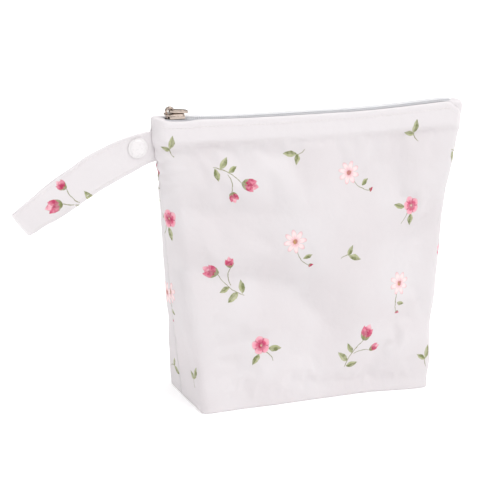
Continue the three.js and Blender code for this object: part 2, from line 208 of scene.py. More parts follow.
def use(tree, group, **values):
    """A placed group. Its inputs are named with spaces as underscores."""
    made = tree.nodes.new("ShaderNodeGroup")
    made.node_tree = group
    for label, value in values.items():
        feed(tree, made.inputs[label.replace("_", " ")], value)
    return made.outputs


print("kinds of socket:", ", ".join(SOCKETS))


# %% Colour and material helpers
def paint(red, green, blue):
    """A colour picked on screen, as the linear values that nodes take."""
    linear = [c / 255 / 12.92 if c < 11 else ((c / 255 + 0.055) / 1.055) ** 2.4 for c in (red, green, blue)]
    return (*linear, 1.0)


def new_material(name, **settings):
    """A material with its shader's plain values set, and the tree to add nodes to."""
    made = bpy.data.materials.new(name)
    made.use_nodes = True
    shader = made.node_tree.nodes["Principled BSDF"]
    for label, value in settings.items():
        feed(made.node_tree, shader.inputs[label.replace("_", " ")], value)
    return made, made.node_tree, shader.inputs


def bump(tree, height, distance, strength=1.0):
    """A bump from a height, with its distance in metres."""
    made = tree.nodes.new("ShaderNodeBump")
    made.inputs["Strength"].default_value = strength
    made.inputs["Distance"].default_value = distance
    feed(tree, made.inputs["Height"], height)
    return made.outputs["Normal"]


print("mid grey on screen is", round(paint(128, 128, 128)[0], 3), "in linear light")


# %% [markdown]
# The floor
# In the photograph the bag stands on white that has no edge. A large pale sheet with a faint glow burns out
# to that white, and still takes a soft shadow where the bag meets it. It is stage and not part of the bag.

# %% Floor
floor_paint, floor_tree, floor_inputs = new_material(
    "pale_floor", Roughness=0.9, Emission_Color=(1.0, 1.0, 1.0, 1.0), Emission_Strength=0.24
)
floor_grain = node(floor_tree, "TexNoise", node(floor_tree, "TexCoord").outputs["Object"])
floor_grain.inputs["Scale"].default_value = 9.0
floor_light = tinge(floor_tree, floor_grain.outputs["Fac"], paint(250, 250, 250), paint(252, 252, 252))
feed(floor_tree, floor_inputs["Base Color"], floor_light)
floor_mesh = bmesh.new()
bmesh.ops.create_grid(floor_mesh, x_segments=2, y_segments=2, size=30.0)
floor = show("floor", floor_mesh, floor_paint)

# %% [markdown]
# The shape of the bag
# The bag is a loft: a soft rectangle that is 175 by 66 mm on the table and closes to a 15 mm slot at the
# zip. A box with a bent top would do, but cloth has no flat faces. So the law of the solids is repeated
# here, and the skin is drawn from it as finely as needed. A table holds what each height adds to the
# straight taper.

# %% Sizes of the bag in millimetres
HEIGHT, TOP_WIDE, BASE_WIDE, BASE_DEEP, MOUTH_DEEP = 200.0, 230.0, 175.0, 66.0, 15.0
CLOTH, BASE_ROUND, FOLD = 1.1, 2.2, 1.25
BAND_LOW, BAND_PROUD, SEAM_BACK, MOUTH_END = 0.929, 0.5, 4.0, 2.75
SECTIONS = (
    # share of the height, side drawn in, front drawn in, swell of the front, corner radius
    (0.0, 0.0, 0.0, 0.8, 5.0),
    (0.016, 0.0, 0.0, 1.0, 5.5),
    (0.2, -0.6, 0.0, 3.0, 10.0),
    (0.45, -0.4, 0.0, 6.0, 13.0),
    (0.7, 0.0, 0.0, 5.0, 12.0),
    (0.84, -0.6, 0.0, 2.0, 9.5),
    (0.92, -0.8, 0.0, 0.6, 7.8),
    (1.0, 0.0, 0.0, 0.0, 7.5),
)


def lerp(a, b, share):
    """The value a share of the way from a to b."""
    return a + (b - a) * share


def smooth(value, low, high):
    """0 below low, 1 above high, and a smooth rise between them."""
    share = min(max((value - low) / (high - low), 0.0), 1.0)
    return share * share * (3 - 2 * share)


def read_row(table, at):
    """A row read between two rows of a table, on a smooth curve through them."""
    last = len(table) - 1
    i = 0
    while i < last - 1 and at > table[i + 1][0]:
        i += 1
    step = table[i + 1][0] - table[i][0]
    t = min(max((at - table[i][0]) / step, 0.0), 1.0)

    def slope(j, column):
        low, high = table[max(j - 1, 0)], table[min(j + 1, last)]
        return (high[column] - low[column]) / (high[0] - low[0])

    return [
        table[i][c] * (2 * t**3 - 3 * t**2 + 1)
        + table[i + 1][c] * (3 * t**2 - 2 * t**3)
        + slope(i, c) * step * (t**3 - 2 * t**2 + t)
        + slope(i + 1, c) * step * (t**3 - t**2)
        for c in range(1, len(table[0]))
    ]


def mouth_dip(x):
    """How far the mouth lies below its height at the strap's corner."""
    share = min(max(2 * x / TOP_WIDE, -1.0), 1.0)
    lifted = 1.8 * smooth(share, 0.2, 1.0) + 1.1 * smooth(share, -0.7, 0.1) * (1 - smooth(share, 0.85, 1.0))
    return 3.0 * (1 - share**2) - lifted


print("mouth dips", round(mouth_dip(0.0), 2), "mm at its middle")

# %% [markdown]
# Folds
# Thin cloth never hangs flat. Each fold is a long soft groove with a place, a length, a width and a slope,
# read from the light and dark patches of the photograph. A depth below zero is a swell. Short puckers are
# added where thread gathers the cloth: along the side seams, and below the root of the strap.

# %% Folds and puckers
FOLDS = {
    # x, z, length, width, slope in degrees, depth
    -1: (
        (-72, 176.5, 110, 8, -3, 3.2),
        (-66, 136, 96, 15, -6, 5.0),
        (-62, 93, 96, 14, -8, 5.6),
        (-10, 68, 78, 19, -46, 4.4),
        (-86, 36, 60, 17, 24, 3.4),
        (82, 118, 100, 14, 40, 5.0),
        (44, 10, 130, 14, -4, 3.0),
        (30, 158, 76, 14, 18, 1.8),
        (86, 54, 60, 12, -58, 2.2),
        (86, 181, 60, 6, 4, 2.2),
        (16, 174, 120, 9, 3, 1.2),
        (90, 151, 60, 16, 4, -1.7),
    ),
    1: (
        (30, 96, 96, 15, 24, 2.4),
        (-46, 142, 84, 13, -20, 1.9),
        (62, 160, 70, 10, 6, 1.3),
        (-72, 70, 70, 12, 34, 1.8),
        (10, 34, 110, 14, -8, 1.5),
        (86, 62, 60, 12, -50, 1.5),
    ),
}
ROOT_PUCKERS = ((-106.0, 179.0, 2.2), (-107.0, 170.0, 3.0), (-105.0, 162.5, 2.8), (-104.0, 155.0, 2.0))


def fold_depth(side, x, z):
    """How far the folds draw one wall in at a place, in millimetres."""
    depth = 0.0
    for fx, fz, length, width, slope, deep in FOLDS[side]:
        angle = math.radians(slope)
        along = (x - fx) * math.cos(angle) + (z - fz) * math.sin(angle)
        across = (z - fz) * math.cos(angle) - (x - fx) * math.sin(angle)
        across += 3.0 * noise.noise(Vector((along / 24, fx, fz)))
        reach = width * (0.85 if across > 0 else 1.3)
        depth += deep * math.exp(-((abs(across) / reach) ** 1.45) - (2 * along / length) ** 4)
    quiet = smooth(z, 0, 14) * (1 - 0.8 * smooth(z, 179, 189))
    depth += quiet * 0.7 * noise.noise(Vector((x / 30, 7.0 * side, z / 24)))
    return depth + quiet * 0.22 * noise.noise(Vector((x / 11, 3.0 * side, z / 8)))


def pucker_depth(side, x, z, from_seam):
    """The small gathers beside a side seam, and under the strap's root."""
    depth = 0.12 * math.exp(-((from_seam / 1.2) ** 2))
    ripple = noise.noise(Vector((z / 6.5, 0.25 * side * smooth(from_seam, 0, 6), math.copysign(4.0, x))))
    depth += 0.75 * ripple * math.exp(-from_seam / 8.0) * smooth(z, 10, 36)
    for px, pz, deep in ROOT_PUCKERS:
        depth += deep * math.exp(-(((x - px) / 8.0) ** 2) - ((z - pz) / 2.1) ** 2)
    return depth


depths = [fold_depth(-1, x, z) for x in range(-90, 91, 6) for z in range(20, 180, 6)]
print("deepest front fold:", round(max(depths), 2), "mm")

# %% [markdown]
# One ring of the skin
# At any height a panel runs from one side seam round a corner, across its face, round the next corner and on
# to the other seam. The columns of the grid are shared out along that way, so that they stay even where the
# end is 33 mm deep at the base and where it is pinched together at the top. The distance along the cloth is
# kept as well: it is the flat pattern of the panel, which the print is laid on.

# %% A point of the ring
END_STEPS, FACE_STEPS = 16, 120
COLUMNS = 2 * END_STEPS + FACE_STEPS


def seam_depth(side, z, x):
    """Where the side seam lies in depth. The two edges part to hold the strap."""
    seam = SEAM_BACK * (1 - z / HEIGHT) + 0.01 * side
    hold = smooth(z, 166, 174) * (1 - smooth(z, 189, 195)) if x < 0 else 0.0
    return lerp(seam, -2.1 if side < 0 else 0.15, hold)


def corner_flare(x, z):
    """How far the front of the base stands forward near its corners."""
    return (5.0 * smooth(x, 34, 80) + 2.0 * smooth(-x, 50, 84)) * (1 - smooth(z, 4, 64))


def ring_point(side, level, column, inset=0.0, end_inset=0.0):
    """Place, way it faces, distance from the middle line and from the seam, in mm. Z is left at 0."""
    side_in, front_in, crown, corner = read_row(SECTIONS, level)
    corner += (4.0 if side > 0 else 0.0) * (1 - smooth(level, 0.0, 0.35))
    half_wide = lerp(BASE_WIDE, TOP_WIDE, level) / 2 - side_in - end_inset
    half_deep = lerp(BASE_DEEP, MOUTH_DEEP, level) / 2 - front_in - inset
    hand = -1 if column <= COLUMNS / 2 else 1
    steps = column if hand < 0 else COLUMNS - column
    seam = seam_depth(side, level * HEIGHT, hand)
    corner = max(min(corner - inset, half_deep - max(0.2, side * seam + 0.3)), 0.6)
    straight = half_wide - corner
    end, bend = half_deep - corner - side * seam, corner * math.pi / 2
    walked = (end + bend) * steps / END_STEPS
    flat = hand * (straight + end + bend - walked)
    if steps >= END_STEPS:
        flat = straight * (2 * (column - END_STEPS) / FACE_STEPS - 1)
        walked = end + bend + straight - abs(flat)
        share = flat / straight
        out = Vector((2 * crown * share / straight, side, 0)).normalized()
        place = Vector((flat, side * (half_deep + crown * (1 - share**2)), 0))
    elif walked <= end:
        out = Vector((hand, 0, 0))
        place = Vector((hand * half_wide, seam + side * walked, 0))
    else:
        angle = (walked - end) / corner
        out = Vector((hand * math.cos(angle), side * math.sin(angle), 0))
        place = Vector((hand * straight, side * (half_deep - corner), 0)) + out * corner
    across = flat if steps >= END_STEPS else place.x
    place.y -= corner_flare(across, level * HEIGHT) * smooth(-place.y, 2, 24)
    return place, out, flat, walked


print("front middle at half height:", tuple(round(v, 1) for v in ring_point(-1, 0.5, COLUMNS // 2)[0]))


# %% A point of the skin
def lobe_drop(side, x):
    """How much lower the mouth is at the far front corner, and where the slider presses it down."""
    curl = max(x - 105.5, 0.0) / 9.5
    far = 3.0 * smooth(x, 102.5, 107.5) + 7.5 * curl**2 if side < 0 else 3.5 * curl**2
    at_slider = (1.4 if side < 0 else 0.4) * math.exp(-(((x + 98.5) / 11.0) ** 4))
    return far + at_slider


def root_pull(z):
    """How far the strap draws the side seam out with it, at its root."""
    return 1.5 * smooth(z, 164, 174) * (1 - smooth(z, 187, 195))


def skin(side, level, column, proud=0.0):
    """A point of the outside of a wall, with its folds, and how it is laid flat."""
    place, out, flat, from_seam = ring_point(side, level, column)
    z = level * HEIGHT
    band = smooth(level, BAND_LOW - 0.026, BAND_LOW + 0.004)
    calm = 16 if place.x < 0 else 26
    drawn = fold_depth(side, place.x, z) * smooth(from_seam, 0, calm)
    drawn += pucker_depth(side, place.x, z, from_seam)
    drawn *= 1 - 0.7 * band
    drop = mouth_dip(place.x) * smooth(level, 0.7, 1.0)
    drop += lobe_drop(side, place.x) * smooth(level, 0.8, 1.0)
    made = place + out * (BAND_PROUD * band + proud - drawn)
    made.z = z - drop
    if place.x < 0:
        made.x -= root_pull(z) * math.exp(-((from_seam / 3.8) ** 2))
    return made, (flat, z)


print("top corner at", tuple(round(v, 1) for v in skin(-1, 0.99, 0)[0]))

# %% [markdown]
# The two panels
# Each panel is one piece of cloth: half of the base, a wall with half of each end, the fold at the zip and
# the hem behind it. A grid has just that many rows and columns, so it is made once and each of its points
# is moved to its place. Cloth has a thickness, and a Solidify modifier gives it, inwards, when the shape is
# done.

# %% Rows of a panel
BASE_ROWS, EDGE_ROWS, WALL_ROWS, BAND_ROWS, FOLD_ROWS, HEM_ROWS = 10, 5, 96, 9, 7, 5
WALL_TOP, BAND_EDGE, BAND_FROM = 181.4, [182.4, 183.2, 183.8, 184.4, 185.0, 185.6, 186.3], 187.2
HEM_STEP = 1.6


def panel_rows():
    """What each row of the grid is, from the seam under the base to the hem inside the mouth."""
    rows = [("base", k / BASE_ROWS) for k in range(BASE_ROWS)]
    rows += [("edge", math.radians(90 * k / EDGE_ROWS)) for k in range(EDGE_ROWS)]
    heights = [lerp(BASE_ROUND, WALL_TOP, k / (WALL_ROWS - 1)) for k in range(WALL_ROWS)]
    heights += BAND_EDGE
    heights += [lerp(BAND_FROM, HEIGHT - FOLD, k / (BAND_ROWS - 1)) for k in range(BAND_ROWS)]
    rows += [("wall", z / HEIGHT) for z in heights]
    rows += [("fold", math.radians(180 * k / FOLD_ROWS)) for k in range(1, FOLD_ROWS + 1)]
    return rows + [("hem", HEM_STEP * k) for k in range(1, HEM_ROWS + 1)]


def panel_point(side, row, column):
    """A point of the panel and its place on the flat cloth, in millimetres."""
    kind, value = row
    if kind == "wall":
        return skin(side, value, column)
    if kind in ("base", "edge"):
        angle = value if kind == "edge" else 0.0
        inset = BASE_ROUND * (1 - math.sin(angle))
        level = BASE_ROUND / HEIGHT
        place, out, flat, from_seam = ring_point(side, level, column, inset, inset)
        place -= out * fold_depth(side, place.x, BASE_ROUND) * smooth(from_seam, 2, 26)
        place.z = BASE_ROUND * (1 - math.cos(angle))
        rolled = BASE_ROUND - BASE_ROUND * math.pi / 2 + BASE_ROUND * angle
        if kind == "edge":
            return place, (flat, rolled)
        half = BASE_WIDE / 2 - BASE_ROUND
        seam = Vector((lerp(-half, half, column / COLUMNS), SEAM_BACK + 0.05 * side, 0.0))
        made = seam.lerp(place, value)
        made.z = 0.7 * math.exp(-(((made - seam).length / 1.6) ** 2))
        return made, (lerp(seam.x, flat, value), rolled - (place - made).length)
    angle = value if kind == "fold" else math.pi
    inset = FOLD * (1 - math.cos(angle))
    end_inset = inset + 2 * (MOUTH_END - FOLD) * smooth(angle, math.pi / 2, math.pi)
    place, out, flat, _ = ring_point(side, 1.0, column, inset, end_inset)
    place += out * BAND_PROUD * 0.5 * (1 + math.cos(angle))
    top = HEIGHT - FOLD - mouth_dip(place.x) - lobe_drop(side, place.x)
    down = value if kind == "hem" else 0.0
    place.z = top + FOLD * math.sin(angle) - down
    return place, (flat, HEIGHT - FOLD + FOLD * angle + down)


print("rows in a panel:", len(panel_rows()), "columns:", COLUMNS)

# %% [markdown]
# Letting the cloth settle
# The folds so far are drawn, and drawn folds look too regular. Real cloth is a little longer than the way
# between its seams, so it buckles. Here each wall is told that it is one hundredth too large, and is let go
# for twenty steps while its seams, base and band are held. It bends stiffly, as coated cotton does, so the
# drawn folds grow into broad natural ones. How far a point may move is capped, and the result is kept in
# the mesh.

# %% Settle helper
SETTLE_STEPS, SETTLE_CAP = 20, 5.0


def held_share(point):
    """1 where the cloth is sewn or pressed flat, 0 where it is free."""
    x, _, z = point / MM
    from_end = lerp(BASE_WIDE, TOP_WIDE, z / HEIGHT) / 2 - abs(x)
    return max(1 - smooth(z, 3.5, 12), smooth(z, 179, 186), 1 - smooth(from_end, 2, 30))


def settle(panel):
    """Runs the wall of a panel as cloth for a few steps and keeps the result."""
    points = panel.data.vertices
    held = panel.vertex_groups.new(name="held")
    for vert in points:
        held.add([vert.index], held_share(vert.co), "REPLACE")
    run = panel.modifiers.new("settling", "CLOTH")
    run.collision_settings.use_collision = False
    run.settings.quality, run.settings.mass, run.settings.air_damping = 5, 0.02, 3.0
    run.settings.tension_stiffness = run.settings.compression_stiffness = 40.0
    run.settings.shear_stiffness, run.settings.bending_stiffness = 20.0, 25.0
    run.settings.tension_damping = run.settings.compression_damping = run.settings.shear_damping = 8.0
    run.settings.vertex_group_mass = "held"
    run.settings.shrink_min = -0.01
    run.settings.effector_weights.gravity = 0.15
    for step in range(1, SETTLE_STEPS + 1):
        scene.frame_set(step)
    settled = panel.evaluated_get(bpy.context.evaluated_depsgraph_get()).data.vertices
    ways = [after.co - before.co for before, after in zip(points, settled)]
    for vert, way in zip(points, ways):
        far = way.length / MM
        if far > 0:
            vert.co += way * (SETTLE_CAP * math.tanh(far / SETTLE_CAP) / far)
    panel.modifiers.remove(run)
    panel.vertex_groups.remove(held)
    scene.frame_set(1)
    print(panel.name, "settled by", round(max(way.length for way in ways) / MM, 1), "mm at most")


# %% Make a panel
def make_panel(name, side, shift):
    """One panel as a mesh whose UV map is the flat cloth in metres, shifted so that two panels differ."""
    bm = bmesh.new()
    rows = panel_rows()
    bmesh.ops.create_grid(bm, x_segments=COLUMNS, y_segments=len(rows) - 1, size=1.0)
    flat = {}
    for vert in bm.verts:
        column = round((vert.co.x + 1) / 2 * COLUMNS)
        row = round((vert.co.y + 1) / 2 * (len(rows) - 1))
        place, laid = panel_point(side, rows[row], column)
        vert.co = place * MM
        flat[vert] = (laid[0] * -side * MM + shift[0], laid[1] * MM + shift[1])
    layer = bm.loops.layers.uv.new("flat_cloth")
    for face in bm.faces:
        for loop in face.loops:
            loop[layer].uv = flat[loop.vert]
    if side > 0:
        bmesh.ops.reverse_faces(bm, faces=bm.faces)
    walls = [v for v in bm.verts if 0.004 < v.co.z < 0.18 and not v.is_boundary]
    every_axis = {"use_axis_x": True, "use_axis_y": True, "use_axis_z": True}
    for _ in range(3):
        bmesh.ops.smooth_vert(bm, verts=walls, factor=0.5, **every_axis)
    made = show(name, bm)
    settle(made)
    thick = made.modifiers.new("cloth_thickness", "SOLIDIFY")
    thick.thickness, thick.offset = CLOTH * MM, -1.0
    return made


front = make_panel("bag_front", -1, (0.0, 0.0))
back = make_panel("bag_back", 1, (0.457, 0.083))

# %% [markdown]
# The weave and the wash
# Close up the cloth is a plain weave: threads that pass over and under each other, two to a millimetre. Two
# crossed sines give that height. A second group gives the uneven tone of watercolour, which also pushes the
# edges of the print about a little, so that nothing looks ruled. It is placed twice in the cloth: finely for
# the print, and broadly for the tone of the ground.

# %% Weave and wash groups
weave, given, gives = new_group(
    "plain_weave",
    {"Point": ("vector", (0, 0, 0)), "Pitch": ("value", 0.5)},
    {"Height": "value"},
)
split = node(weave, "SeparateXYZ", move(weave, "SCALE", given["Point"], None, None, 2 * math.pi))
rate = calc(weave, "DIVIDE", 1.0, given["Pitch"])
threads = [calc(weave, "SINE", calc(weave, "MULTIPLY", split.outputs[axis], rate)) for axis in "XY"]
crossing = calc(weave, "MULTIPLY_ADD", calc(weave, "MULTIPLY", *threads), 0.5, 0.5)
feed(weave, gives["Height"], crossing)

wash, given, gives = new_group(
    "water_wash",
    {"Point": ("vector", (0, 0, 0)), "Grain": ("value", 3.0), "Push": ("value", 0.5)},
    {"Tone": "value", "Point": "vector"},
)
blot = node(wash, "TexNoise", given["Point"], noise_dimensions="2D")
feed(wash, blot.inputs["Scale"], calc(wash, "DIVIDE", 1.0, given["Grain"]))
blot.inputs["Detail"].default_value = 2.0
shove = move(wash, "SUBTRACT", blot.outputs["Color"], (0.5, 0.5, 0.5))
pushed = node(wash, "VectorMath", shove, operation="SCALE")
feed(wash, pushed.inputs["Scale"], given["Push"])
feed(wash, gives["Tone"], soft_step(wash, blot.outputs["Fac"], 0.3, 0.7))
feed(wash, gives["Point"], move(wash, "ADD", given["Point"], pushed.outputs[0]))
print("groups:", weave.name, wash.name)

# %% [markdown]
# Strokes of the print
# The print is a small floral scatter of our own. Every motif is built from three strokes: a petal, which
# also serves as a leaf, a stem, and a round flower. A stroke answers one question for each point of the
# cloth: is it inside, and how far along? Points are in millimetres on the flat cloth, so sizes read as on
# a ruler.



# %% Petal
def from_foot(tree, given):
    """A point as a stroke sees it, along and across from its foot."""
    offset = move(tree, "SUBTRACT", given["Point"], given["Foot"])
    turned_back = turn(tree, offset, calc(tree, "MULTIPLY", given["Turn"], -1.0))
    return node(tree, "SeparateXYZ", turned_back).outputs


petal, given, gives = new_group(
    "petal_stroke",
    {
        "Point": ("vector", (0, 0, 0)),
        "Foot": ("vector", (0, 0, 0)),
        "Turn": ("value", 0.0),
        "Length": ("value", 9.0),
        "Width": ("value", 4.0),
        "Belly": ("value", 1.0),
    },
    {"Mask": "value", "Along": "value", "Across": "value"},
)
local = from_foot(petal, given)
reach = node(petal, "Math", local["X"], given["Length"], operation="DIVIDE", use_clamp=True)
along = reach.outputs[0]
swell = calc(petal, "SINE", calc(petal, "MULTIPLY", calc(petal, "POWER", along, given["Belly"]), math.pi))
half = calc(petal, "MULTIPLY", calc(petal, "MULTIPLY", swell, given["Width"]), 0.5)
room = calc(petal, "SUBTRACT", half, calc(petal, "ABSOLUTE", local["Y"]))
feed(petal, gives["Mask"], soft_step(petal, room, 0.02, 0.32))
feed(petal, gives["Along"], along)
feed(petal, gives["Across"], calc(petal, "DIVIDE", local["Y"], calc(petal, "MAXIMUM", half, 0.1)))
print("petal:", len(petal.nodes), "nodes")

# %% Stem
stem, given, gives = new_group(
    "stem_stroke",
    {
        "Point": ("vector", (0, 0, 0)),
        "Foot": ("vector", (0, 0, 0)),
        "Turn": ("value", 0.0),
        "Length": ("value", 20.0),
        "Bow": ("value", 2.0),
        "Thick": ("value", 0.6),
    },
    {"Mask": "value"},
)
local = from_foot(stem, given)
along = calc(stem, "DIVIDE", local["X"], given["Length"])
hump = calc(stem, "MULTIPLY", calc(stem, "MULTIPLY", along, calc(stem, "SUBTRACT", 1.0, along)), 4.0)
bowed = calc(stem, "MULTIPLY", hump, given["Bow"])
off = calc(stem, "ABSOLUTE", calc(stem, "SUBTRACT", local["Y"], bowed))
line = soft_step(stem, calc(stem, "SUBTRACT", given["Thick"], off), 0.15, 0.5)
feed(stem, gives["Mask"], calc(stem, "MULTIPLY", line, soft_step(stem, hump, 0.0, 0.1)))
print("stem:", len(stem.nodes), "nodes")

# %% Flower
flower, given, gives = new_group(
    "flower_stroke",
    {
        "Point": ("vector", (0, 0, 0)),
        "Middle": ("vector", (0, 0, 0)),
        "Radius": ("value", 6.0),
        "Petals": ("value", 5.0),
        "Slim": ("value", 0.6),
        "Waist": ("value", 0.5),
    },
    {"Mask": "value", "Reach": "value", "Lobe": "value", "Eye": "value"},
)
local = move(flower, "SUBTRACT", given["Point"], given["Middle"])
split = node(flower, "SeparateXYZ", local)
angle = calc(flower, "ARCTAN2", split.outputs["Y"], split.outputs["X"])
petal_angle = calc(flower, "MULTIPLY", angle, given["Petals"])
wave = calc(flower, "COSINE", calc(flower, "MULTIPLY", petal_angle, 0.5))
lobe = calc(flower, "POWER", calc(flower, "ABSOLUTE", wave), given["Slim"])
rim = calc(flower, "MULTIPLY_ADD", lobe, calc(flower, "SUBTRACT", 1.0, given["Waist"]), given["Waist"])
rim = calc(flower, "MULTIPLY", rim, given["Radius"])
radius = node(flower, "VectorMath", local, operation="LENGTH").outputs["Value"]
feed(flower, gives["Mask"], soft_step(flower, calc(flower, "SUBTRACT", rim, radius), 0.02, 0.4))
feed(flower, gives["Reach"], calc(flower, "DIVIDE", radius, rim))
feed(flower, gives["Lobe"], lobe)
eye_size = calc(flower, "MULTIPLY", given["Radius"], 0.24)
feed(flower, gives["Eye"], soft_step(flower, calc(flower, "SUBTRACT", eye_size, radius), 0.0, 0.5))
print("flower:", len(flower.nodes), "nodes")

# %% [markdown]
# Motifs
# A leaf is a petal in olive with a dark rib. A bud is four crimson petals in a green cup. From these come
# four motifs: a spray of buds, an open rose with leaves, a pale daisy, and a pair of leaves. Each group gives
# a colour and a mask, and inside it the strokes are laid over each other as a painter would lay them.

# %% Palette
OLIVE, MOSS, SAGE = paint(148, 152, 96), paint(112, 120, 70), paint(196, 198, 152)
CRIMSON, ROSE, PINK = paint(178, 34, 82), paint(216, 86, 124), paint(240, 168, 184)
BLUSH, PETAL_EDGE = paint(247, 222, 222), paint(226, 168, 178)
GOLD, STALK = paint(186, 148, 82), paint(132, 128, 84)


def lay(tree, under, colour, mask):
    """One layer of paint over what is there: (colour, mask)."""
    if under is None:
        return colour, mask
    return tinge(tree, mask, under[0], colour), calc(tree, "MAXIMUM", under[1], mask)


def hand_on(tree, gives, painted):
    """Hands the laid paint on to a group's outputs."""
    feed(tree, gives["Colour"], painted[0])
    feed(tree, gives["Mask"], painted[1])


print("leaf green in linear light:", [round(c, 3) for c in OLIVE[:3]])

# %% Leaf
STROKE_INPUTS = {
    "Point": ("vector", (0, 0, 0)),
    "Foot": ("vector", (0, 0, 0)),
    "Turn": ("value", 0.0),
    "Length": ("value", 9.0),
    "Tone": ("value", 0.5),
}
PAINTED = {"Colour": "colour", "Mask": "value"}

leaf, given, gives = new_group("olive_leaf", STROKE_INPUTS, PAINTED)
blade = use(
    leaf,
    petal,
    Point=given["Point"],
    Foot=given["Foot"],
    Turn=given["Turn"],
    Length=given["Length"],
    Width=calc(leaf, "MULTIPLY", given["Length"], 0.46),
    Belly=0.82,
)
green = tinge(leaf, given["Tone"], MOSS, OLIVE)
green = tinge(leaf, calc(leaf, "MULTIPLY", soft_step(leaf, blade["Across"], -0.1, 0.5), 0.55), green, SAGE)
rib = soft_step(leaf, calc(leaf, "ABSOLUTE", blade["Across"]), 0.16, 0.02)
green = tinge(leaf, calc(leaf, "MULTIPLY", rib, 0.6), green, MOSS)
rim = soft_step(leaf, calc(leaf, "ABSOLUTE", blade["Across"]), 0.7, 1.0)
green = tinge(leaf, calc(leaf, "MULTIPLY", rim, 0.35), green, STALK)
hand_on(leaf, gives, (green, blade["Mask"]))
print("leaf:", len(leaf.nodes), "nodes")

# %% Bud
bud, bud_given, gives = new_group("rose_bud", STROKE_INPUTS, PAINTED)


def bud_petal(side_turn, long, wide, belly):
    """One petal of the bud, with its sizes as shares of the bud's length."""
    return use(
        bud,
        petal,
        Point=bud_given["Point"],
        Foot=bud_given["Foot"],
        Turn=calc(bud, "ADD", bud_given["Turn"], side_turn),
        Length=calc(bud, "MULTIPLY", bud_given["Length"], long),
        Width=calc(bud, "MULTIPLY", bud_given["Length"], wide),
        Belly=belly,
    )


painted = None
for side_turn, long, wide, foot_tone, tip_tone in (
    (0.0, 1.0, 0.62, CRIMSON, PINK),
    (0.36, 0.9, 0.42, CRIMSON, ROSE),
    (-0.34, 0.86, 0.4, CRIMSON, ROSE),
    (0.06, 0.66, 0.3, CRIMSON, CRIMSON),
):
    shape = bud_petal(side_turn, long, wide, 0.95)
    fade = calc(bud, "MULTIPLY_ADD", bud_given["Tone"], 0.4, calc(bud, "SUBTRACT", shape["Along"], 0.25))
    tone = tinge(bud, soft_step(bud, fade, 0.1, 0.9), foot_tone, tip_tone)
    edge = soft_step(bud, calc(bud, "ABSOLUTE", shape["Across"]), 0.62, 1.0)
    tone = tinge(bud, calc(bud, "MULTIPLY", edge, 0.55), tone, CRIMSON)
    painted = lay(bud, painted, tone, shape["Mask"])
for side_turn, long in ((0.75, 0.5), (-0.75, 0.5), (0.0, 0.34)):
    shape = bud_petal(side_turn, long, 0.17, 0.8)
    painted = lay(bud, painted, tinge(bud, shape["Along"], MOSS, OLIVE), shape["Mask"])
hand_on(bud, gives, painted)
print("bud:", len(bud.nodes), "nodes")

# %% Spray of buds
MOTIF_INPUTS = {"Point": ("vector", (0, 0, 0)), "Tone": ("value", 0.5)}


def stroke(tree, given, group, under, foot, degrees, length):
    """A leaf or a bud laid over what is there."""
    made = use(
        tree,
        group,
        Point=given["Point"],
        Foot=(*foot, 0.0),
        Turn=math.radians(degrees),
        Length=length,
        Tone=given["Tone"],
    )
    return lay(tree, under, made["Colour"], made["Mask"])


def stalk(tree, given, under, foot, degrees, length, bow):
    """A thin stem laid over what is there."""
    made = use(
        tree,
        stem,
        Point=given["Point"],
        Foot=(*foot, 0.0),
        Turn=math.radians(degrees),
        Length=length,
        Bow=bow,
        Thick=0.55,
    )
    return lay(tree, under, STALK, made["Mask"])


spray, given, gives = new_group("bud_spray", MOTIF_INPUTS, PAINTED)
made = stalk(spray, given, (OLIVE, 0.0), (-6.0, -13.0), 66, 19.0, 1.6)
made = stalk(spray, given, made, (-2.6, -4.4), 18, 10.5, 1.2)
for foot, degrees, length in (((-5.0, -9.0), 148, 8.5), ((-3.6, -4.0), 128, 7.0), ((-5.4, -12.0), 22, 8.0)):
    made = stroke(spray, given, leaf, made, foot, degrees, length)
made = stroke(spray, given, bud, made, (7.2, -1.2), 28, 7.4)
made = stroke(spray, given, bud, made, (1.6, 4.0), 78, 10.5)
hand_on(spray, gives, made)
print("spray:", len(spray.nodes), "nodes")

# %% Open rose
rose, given, gives = new_group("open_rose", MOTIF_INPUTS, PAINTED)
made = stalk(rose, given, (OLIVE, 0.0), (-1.0, -3.0), -74, 9.0, 1.2)
for foot, degrees, length in (((2.4, -3.6), -34, 8.6), ((-3.4, -3.0), 206, 7.8)):
    made = stroke(rose, given, leaf, made, foot, degrees, length)
for size, waist, inner, outer in ((5.4, 0.74, ROSE, PINK), (3.4, 0.7, CRIMSON, ROSE)):
    shape = {"Middle": (0.0, 0.4, 0.0), "Radius": size, "Petals": 5.0, "Slim": 0.45, "Waist": waist}
    bloom = use(rose, flower, Point=given["Point"], **shape)
    tone = tinge(rose, soft_step(rose, bloom["Reach"], 0.25, 0.95), inner, outer)
    gap = calc(rose, "MULTIPLY", soft_step(rose, bloom["Lobe"], 0.75, 0.3), 0.8)
    made = lay(rose, made, tinge(rose, gap, tone, CRIMSON), bloom["Mask"])
made = lay(rose, made, tinge(rose, given["Tone"], GOLD, SAGE), bloom["Eye"])
hand_on(rose, gives, made)
print("rose:", len(rose.nodes), "nodes")

